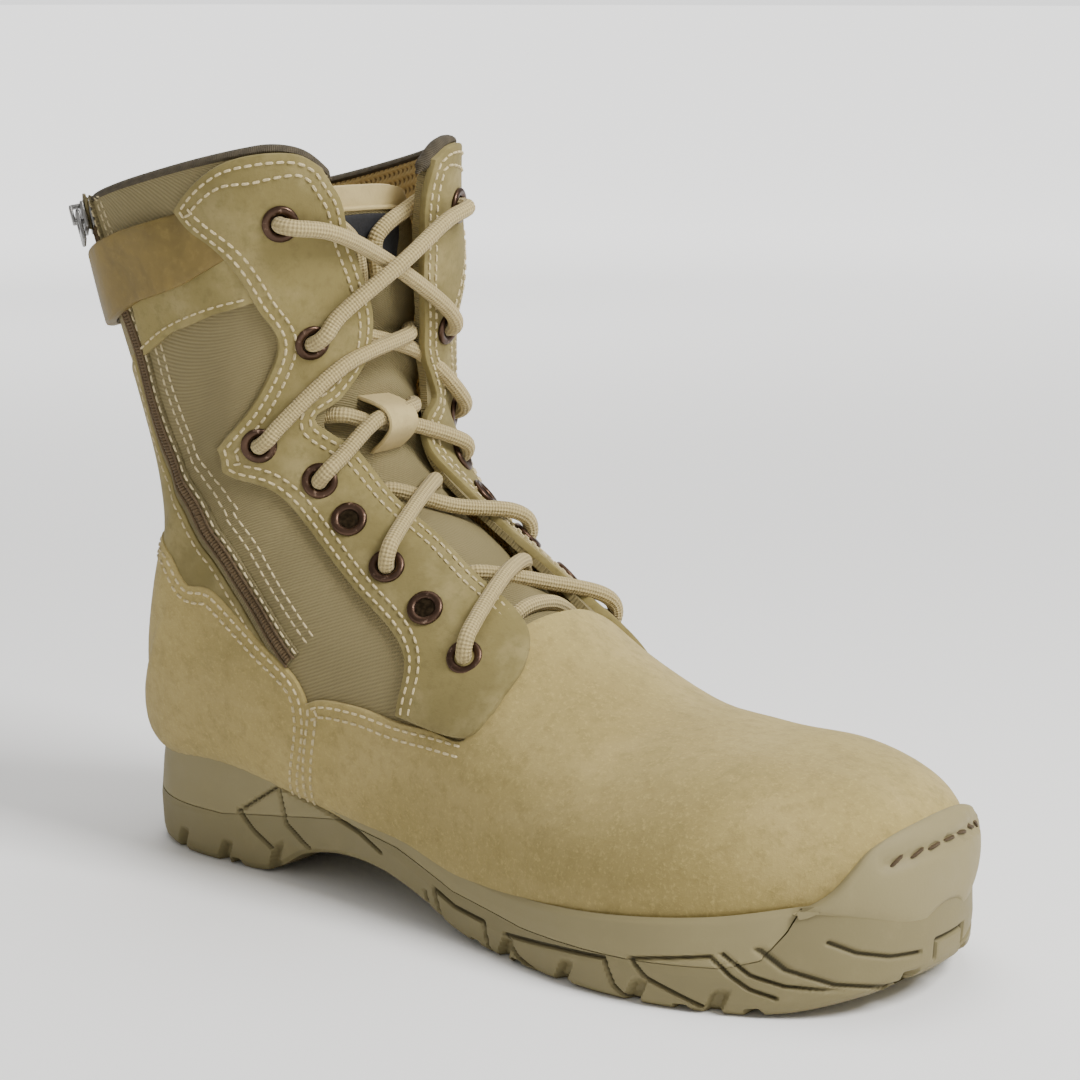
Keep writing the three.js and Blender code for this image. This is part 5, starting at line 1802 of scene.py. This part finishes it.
    @staticmethod
    def bumper():
        """Thick rubber toe cap with its stitched slot."""
        shape, seams = Shape(), Shape()
        line = {
            INNER: [(-38.8, 28.8), (-36.6, 30.2), (-33, 35), (-29, 41), (-24, 46), (-15, 49.5), (-6, 50.8)],
            OUTER: [(43.6, 28.2), (41, 31), (35, 39.5), (28, 45), (20, 49), (10, 50.8)],
        }
        toe_range = (0.005, 0.22)
        tops = {side: LAST.find(line[side], [0, 2], side, 4.8, toe_range) for side in (INNER, OUTER)}
        low = 0.032
        top = np.concatenate([tops[INNER], tops[OUTER][::-1]])
        toe = np.array([(low, -0.62 * LAST.width(low, INNER)), (low, -15), (low, 0), (low, 15),
                        (low, 0.62 * LAST.width(low, OUTER))])
        ring = loop_of((spline(top, 300), 1.2), (spline([top[-1], toe[-1]], 40), 1.5),
                       (spline(toe[::-1], 60), 2.0), (spline([toe[0], top[0]], 40), 1.5))
        fine = row_points(1.3)
        fine = fine[fine[:, 0] < 0.25]

        def high(places):
            solid = bare(places, 4.8)
            slot = line_distance(solid[:, [0, 2]], [(-22, 42), (-10, 43.6), (4, 44), (18, 43.6), (29, 41)])
            return 4.9 - 1.3 * (1 - smooth(0.9, 1.9, slot)) + 0.35 * smooth(45, 47, solid[:, 2])

        panel(shape, ring, 0.0, high, 1.3, spread=fine, lift=bare)
        finish_piece("toe_bumper", shape, "bumper", sharp=45)
        centres = LAST.find([(-18, 42.5), (-11, 43.4), (-4, 43.8)], [0, 2], INNER, 4.0, toe_range)
        outer = LAST.find([(3.5, 44), (11, 43.8), (18, 43.4), (25, 42)], [0, 2], OUTER, 4.0, toe_range)
        for s, mm in np.concatenate([centres, outer]):
            places = pairs(s, mm + np.array([-3.0, 0, 3.0]))
            stitch_along(seams, bare(places, 4.1), outward(places), pitch=5.6, radius=0.6, length=5.4)
        finish_piece("toe_slot_stitches", seams, "dark_thread")


# ---- zip, strap and pull ----
ZIP_LINE = [(6.5, 205), (1, 193), (-8, 179), (-14, 164), (-18, 146), (-22, 128), (-30, 113), (-38, 101),
            (-46, 91), (-55, 82), (-66, 71)]
STRAP_OUTLINE = [(-53, 190), (-37, 202), (-18, 197.5), (0, 191.5), (10, 188), (7, 166), (-4, 169.5),
                 (-22, 177), (-40, 183)]
STRAP_BASE = [(-59, 178), (-36, 199), (-19, 194), (-15.5, 186), (-18.5, 160), (-32, 168), (-47, 174)]
SLIDER_AT = (5, 199.5)
PIVOT_OUT, PIVOT_UP = 4.85, 1.6

# Name, body, CAD node and blocks: size, place and rounding in mm.
SLIDER_PARTS = [
    ("slider_body", BODY, "zip_slider", [
        ((9, 1.2, 8.4), (0, 3.1, 0), 0.5),
        ((9, 1.0, 8.4), (0, 1.1, 0), 0.4),
        ((2.0, 2.0, 2.4), (0, 2.1, 3.0), 0.3),
        ((2.4, 1.0, 6.0), (0, 6.3, PIVOT_UP), 0.4),
        ((2.4, 2.9, 1.0), (0, 4.8, PIVOT_UP + 2.5), 0.3),
        ((2.4, 2.9, 1.0), (0, 4.8, PIVOT_UP - 2.5), 0.3),
    ]),
    ("pull_tab", "zip_pull", "zip_pull", [
        ((7, 1.2, 1.2), (0, PIVOT_OUT, PIVOT_UP), 0.45),
        ((1.4, 1.2, 6.4), (-2.8, PIVOT_OUT, PIVOT_UP - 2.6), 0.45),
        ((1.4, 1.2, 6.4), (2.8, PIVOT_OUT, PIVOT_UP - 2.6), 0.45),
        ((7, 1.2, 4.2), (0, PIVOT_OUT, PIVOT_UP - 7.3), 0.45),
    ]),
]


def straight_sides(points):
    """Runs for an outline with straight sides between its points."""
    return [(spline([a, b], 12), 1.4) for a, b in zip(points[:-1], points[1:])]


def behind_facing(places):
    """Distance in mm behind the rear edge of the inner facing's upper half."""
    keys, values = zip(*FACING_REAR[3::-1])
    return -places[:, 1] - np.interp(places[:, 0], keys, values)


def strap_ring(points):
    """Outline whose first side is drawn 3 mm under the rear edge of the inner facing."""
    places = seen(INNER, points)
    front = pairs(np.linspace(places[0, 0], places[1, 0], 12), 0.0)
    front[:, 1] = 3 + behind_facing(front)
    return loop_of((spline(front, 60), 1.4), *straight_sides([front[-1], *places[2:], front[0]]))


class BOOT_OT_zip(BootOperator, bpy.types.Operator):
    """Side zip: tape, coil, piping, crescent of leather behind it, slider and pull"""

    bl_idname = "boot.zip"
    bl_label = "Side zip"

    def build(self):
        line = spline(seen(INNER, ZIP_LINE), 400)
        tape, coil, piping, seams = Shape(), Shape(), Shape(), Shape()
        left, right = moved(line, 4.2), moved(line, -4.2)
        ring = loop_of((left, 1.4), (spline([left[-1], right[-1]], 8), 1.4), (right[::-1], 1.4),
                       (spline([right[0], left[0]], 8), 1.4))
        panel(tape, ring, UNDER, 0.9, 0.3)
        teeth = even(line, mm_of("coil"))
        for k, sway in ((0, 1.05), (1, -1.05)):
            row, ahead = moved(teeth, sway), moved(teeth, -0.9 * sway)
            if k:
                row, ahead = 0.5 * (row[:-1] + row[1:]), 0.5 * (ahead[:-1] + ahead[1:])
            else:
                row, ahead = row[:-1], ahead[:-1]
            for a, b in zip(row, ahead):
                places = np.array([a, 0.5 * (a + b), b])
                tube(coil, on(places, np.array([0.9, 1.35, 0.9])), 0.55, 6)
        for turn in (1.9, -1.9):
            tube(piping, on(even(moved(line, turn), 2.0), 1.05), 0.5, 8)
        front = self.front_side(line)
        for inset in (3.3, 8.0, 11.0):
            sew(seams, line, 1.0 if inset < 4 else 0.1, front * inset, radius=0.38)
        finish_piece("zip_tape", tape, "tape", "zip_chain")
        finish_piece("zip_coil", coil, "piping")
        finish_piece("zip_piping", piping, "piping")
        finish_piece("zip_stitching", seams, "thread")
        self.crescent(line)
        self.tape_end(line)
        self.slider()

    @staticmethod
    def front_side(line):
        """1 if moving the line to its left goes towards the toe, else -1."""
        there = moved(line, 4)
        step = bare(there) - bare(line)
        return 1 if np.mean(step[:, 1]) < 0 else -1

    @staticmethod
    def crescent(line):
        """Smooth leather between the zip and the backstay."""
        shape, seams = Shape(), Shape()
        front = even(moved(line, -4.8 * BOOT_OT_zip.front_side(line)), 1.5)
        height = bare(front)[:, 2]
        front = front[(height > 74) & (height < 160)]
        s = np.linspace(front[0][0], 0.735, 60)
        back = pairs(s, -(LAST.width(s, INNER) - BACKSTAY_HALF - 0.5))
        base = seen(INNER, [(-24, 84), (-40, 80), (-56, 70)])
        low = np.concatenate([[back[-1]], base, [front[-1]]])
        ring = oriented(np.concatenate([front[:-1], even(spline(low[::-1], 60), 1.5)[:-1],
                                        even(back[::-1], 1.5)[:-1],
                                        even(spline([back[0], front[0]], 20), 1.5)[:-1]]))
        panel(shape, ring, UNDER, 0.8, 0.5)
        finish_piece("zip_crescent", shape, "facing")
        sign = inward(front, ring)
        sew(seams, front, 0.9, sign * 2.0, radius=0.38)
        finish_piece("crescent_stitching", seams, "thread")

    @staticmethod
    def tape_end(line):
        """Folded end of the zip tape over the collar."""
        shape = Shape()
        top = line[0]
        path = bare(pairs([top[0], 0.985, 1.0, 1.0], top[1]), np.array([1.6, 1.8, 1.4, -2.6]))
        path[2][2] += 1.4
        path[3][2] -= 0.5
        route = curve_through(path, 1.0)
        out = unit(outward(np.full((len(route), 2), (0.99, top[1]))))
        tube(shape, route, 5.0, 12, flatten=0.16, up=out)
        finish_piece("zip_tape_end", shape, "tape")

    @staticmethod
    def slider_frame():
        """Frame of the slider: y out of the boot, z up along the zip."""
        place, high, low = (seen(INNER, [point]) for point in (SLIDER_AT, *ZIP_LINE[:2]))
        out = outward(place)[0]
        rise = (bare(high) - bare(low))[0]
        up = unit(rise - out * np.dot(rise, out))
        return frame_matrix(np.cross(out, up), out, up, bare(place)[0])

    @staticmethod
    def block(size, place, bevel):
        """Block with rounded edges, in mm of the slider's frame."""
        bpy.ops.object.select_all(action="DESELECT")
        bpy.ops.mesh.primitive_cube_add(size=1)
        cube = bpy.context.object
        cube.scale = [v * MM for v in size]
        cube.location = [v * MM for v in place]
        bpy.ops.object.transform_apply(location=True, rotation=False, scale=True)
        rounding = cube.modifiers.new("rounding", "BEVEL")
        rounding.width = bevel * MM
        rounding.segments = 3
        bpy.ops.object.modifier_apply(modifier="rounding")
        return cube

    def slider(self):
        for name, body, node, blocks in SLIDER_PARTS:
            piece = joined([self.block(*row) for row in blocks])
            baked(piece, self.slider_frame())
            bpy.ops.object.shade_smooth_by_angle(angle=math.radians(40))
            piece.name = name
            piece.data.materials.append(finish("steel"))
            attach(piece, body)
            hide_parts(node)


class BOOT_OT_strap(BootOperator, bpy.types.Operator):
    """Closure strap over the zip and the leather piece it is sewn to"""

    bl_idname = "boot.strap"
    bl_label = "Strap"

    def build(self):
        strap, base, seams = Shape(), Shape(), Shape()
        base_ring = strap_ring(STRAP_BASE)
        panel(base, base_ring, UNDER, lambda q: 1.5 + 0.4 * smooth(0, 4, behind_facing(q)), 0.5)
        ring = strap_ring(STRAP_OUTLINE)
        panel(strap, ring, 1.0, lambda q: (1.8 + 2.4 * smooth(-1, 12, behind_facing(q))
                                           + 0.25 * np.sin(q[:, 1] / 3.5)), 0.8)
        finish_piece("strap_base_leather", base, "facing", "strap_base")
        finish_piece("strap_leather", strap, "strap", "strap")
        lower = spline(seen(INNER, STRAP_BASE[4:] + STRAP_BASE[:1]), 120)[:-11]
        sign = inward(lower, base_ring)
        sew(seams, lower, 2.0, sign * 2.0, radius=0.4)
        finish_piece("strap_stitching", seams, "thread")


# ---- tongue, loop and insole ----
TONGUE_S = [0.365, 0.5, 0.7, 0.85, 0.95]
TONGUE_MM = {INNER: [22, 28, 33, 34, 33], OUTER: [25, 30, 33, 34, 33]}
TONGUE_LOW, TONGUE_TOP = 0.365, 0.93
PIPING_S = 0.897             # station of the piping, where the top edge's leather begins
# Creases across the tongue: station and depth in mm.
TONGUE_CREASES = [(0.47, 1.0), (0.545, 1.0), (0.60, 0.8), (0.70, 1.2), (0.765, 0.8), (0.845, 0.6)]


def tongue_level(s):
    """Height of the tongue's face over the last, along its middle."""
    return -(wall_at(s) + 1.2 + 6.2 * smooth(0.66, 0.86, s))


class BOOT_OT_tongue(BootOperator, bpy.types.Operator):
    """Padded nylon tongue with its piping, patch and lace loop"""

    bl_idname = "boot.tongue"
    bl_label = "Tongue"

    def build(self):
        rows, columns = 90, 41
        s = np.linspace(TONGUE_LOW, TONGUE_TOP, rows)
        inner, outer = (column(TONGUE_S, TONGUE_MM[side], s)[:, None] for side in (INNER, OUTER))
        close = np.sqrt(np.clip((s - 0.88) / (TONGUE_TOP - 0.88), 0, 1))[:, None]
        share = np.linspace(0, 1, columns)
        grid_s = np.repeat(s, columns).reshape(rows, columns)
        mm = lerp(-inner, outer, share[None]) * (1 - 0.22 * close ** 3)
        across = np.abs(2 * share - 1)[None]
        top = tongue_level(s)[:, None] - 1.8 * across ** 2
        crease = np.zeros((rows, columns))
        for place, depth in TONGUE_CREASES:
            wander = place + 0.006 * np.sin(3 * share + 40 * place)[None]
            crease = crease + depth * np.exp(-((grid_s - wander) / 0.011) ** 2)
        puff = np.sqrt(np.clip(1 - across ** 6, 0, 1)) * np.sqrt(1 - close ** 4 * 0.75)
        upper = top - crease - (1 - puff) * 1.4
        lower = np.minimum(top - (4.6 * puff + 0.5), upper - 0.6)
        shape = Shape()
        places = pairs(grid_s.ravel(), mm.ravel())
        a, b = (shape.add(bare(places, level.ravel()), flat(places)) for level in (upper, lower))
        faces = grid_faces(rows, columns, a)
        band = np.searchsorted(s, PIPING_S) * (columns - 1)
        shape.cover(faces[:band])
        shape.cover(faces[band:], 2)
        shape.cover([f[::-1] for f in grid_faces(rows, columns, b)], 1)
        index = np.arange(rows * columns).reshape(rows, columns)
        rim = np.concatenate([index[0, :-1], index[:-1, -1], index[-1, :0:-1], index[:0:-1, 0]])
        shape.strip(a + rim, b + rim, 2)
        piece = finish_piece("padded_tongue", shape, "nylon lining cream", "tongue", sharp=60)
        self.piping(s, mm, top)
        self.patch()
        self.loop()

    @staticmethod
    def piping(s, mm, top):
        shape = Shape()
        k = int(np.searchsorted(s, PIPING_S))
        path = bare(pairs(s[k], mm[k]), top[k] + 0.1)[3:-3]
        tube(shape, curve_through(path, 1.5), 0.8, 8)
        finish_piece("tongue_piping", shape, "cream")

    @staticmethod
    def patch():
        shape = Shape()
        curves = [[(0.888, -16), (0.89, 0), (0.888, 14)], [(0.888, 14), (0.86, 15), (0.832, 14)],
                  [(0.832, 14), (0.83, 0), (0.832, -16)], [(0.832, -16), (0.86, -17), (0.888, -16)]]
        ring = loop_of(*((spline(curve, 120), 1.5) for curve in curves))
        panel(shape, ring, lambda q: tongue_level(q[:, 0]) - 0.8, lambda q: tongue_level(q[:, 0]) + 0.55,
              0.4, lift=bare)
        finish_piece("tongue_patch", shape, "patch")

    @staticmethod
    def loop():
        """Folded leather strip that the lace passes through."""
        shape = Shape()
        half = 5.8
        profile = np.array([(-0.030, -8.0), (-0.028, -3.0), (-0.023, 3.0), (-0.013, 7.2), (0.0, 8.3),
                            (0.013, 7.4), (0.023, 3.0), (0.028, -3.0), (0.030, -8.0)])
        path = curve_through(bare(pairs(LOOP_S + profile[:, 0], 0.0), profile[:, 1]), 1.0)
        tangent = unit(np.gradient(path, axis=0))
        side = unit(np.array([1.0, 0, 0]) - tangent * tangent[:, :1])
        out = unit(np.cross(side, tangent))
        section = ((-half, -0.6), (-half - 0.3, 0), (-half, 0.6), (0, 0.75), (half, 0.6), (half + 0.3, 0),
                   (half, -0.6), (0, -0.6))
        points = np.stack([path + side * w + out * h for w, h in section], axis=1)
        shape.tube_faces(len(path), len(section), shape.add(points.reshape(-1, 3)))
        finish_piece("leather_loop", shape, "cream", "tongue_loop", sharp=50)


class BOOT_OT_insole(BootOperator, bpy.types.Operator):
    """Fabric covered footbed"""

    bl_idname = "boot.insole"
    bl_label = "Insole"

    def build(self):
        shape = Shape()
        inset, thick = 5.5, 4.0
        levels = [(-inset, 0.3), (-inset + 0.2, 1.6), (-inset, thick - 0.7), (-inset - 0.9, thick + 0.2),
                  (-inset - 3, thick + 0.3)]
        runs = []
        for grow, up in levels:
            ring = sole_ring(grow, lambda q: footbed_at(q) + up)[::4]
            runs.append(shape.add(ring, ring[:, :2]) + np.arange(len(ring)))
        shape.strips(runs)
        for ring in (runs[0], runs[-1]):
            BOOT_OT_sole.across(shape, ring)
        piece = finish_piece("footbed", shape, "lining", "insole", sharp=50)


class BOOT_OT_tab(BootOperator, bpy.types.Operator):
    """Small rust-coloured tab on the outer side"""

    bl_idname = "boot.side_tab"
    bl_label = "Side tab"

    def build(self):
        shape = Shape()
        places = seen(OUTER, [(-86, 87), (-74, 86), (-73, 98), (-85, 99)])
        panel(shape, loop_of(*straight_sides([*places, places[0]])), UNDER, 1.3, 0.5)
        finish_piece("side_tab", shape, "tab")


PIECES = (BOOT_OT_stage, BOOT_OT_upper, BOOT_OT_vamp, BOOT_OT_counter, BOOT_OT_facings, BOOT_OT_collar,
          BOOT_OT_eyelets, BOOT_OT_laces, BOOT_OT_sole, BOOT_OT_zip, BOOT_OT_strap, BOOT_OT_tongue,
          BOOT_OT_insole, BOOT_OT_tab)


class BOOT_PT_panel(bpy.types.Panel):
    """Sidebar panel with the boot's pieces in building order"""

    bl_label = "Combat boot"
    bl_space_type = "VIEW_3D"
    bl_region_type = "UI"
    bl_category = "Boot"

    def draw(self, context):
        column_of_buttons = self.layout.column(align=True)
        for operator in PIECES:
            column_of_buttons.operator(operator.bl_idname)
        for group in (context.scene.boot_sizes, context.scene.boot_colours):
            for name in group.__annotations__:
                self.layout.prop(group, name)


CLASSES = (BootSizes, BootColours, *PIECES, BOOT_PT_panel)


def register():
    for cls in CLASSES:
        bpy.utils.register_class(cls)
    bpy.types.Scene.boot_sizes = PointerProperty(type=BootSizes)
    bpy.types.Scene.boot_colours = PointerProperty(type=BootColours)


def unregister():
    del bpy.types.Scene.boot_sizes
    del bpy.types.Scene.boot_colours
    for cls in reversed(CLASSES):
        bpy.utils.unregister_class(cls)


def main():
    register()
    for operator in PIECES:
        group, name = operator.bl_idname.split(".")
        getattr(getattr(bpy.ops, group), name)()
    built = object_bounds()
    boxes = {"cad": plain(CAD_BOX), "visual": plain(built)}


def plain(box):
    """A box as plain lists of numbers."""
    if isinstance(box, dict):
        return {key: plain(value) for key, value in box.items()}
    if hasattr(box, "__len__"):
        return [plain(value) for value in box]
    return float(box)


if __name__ == "__main__":
    main()
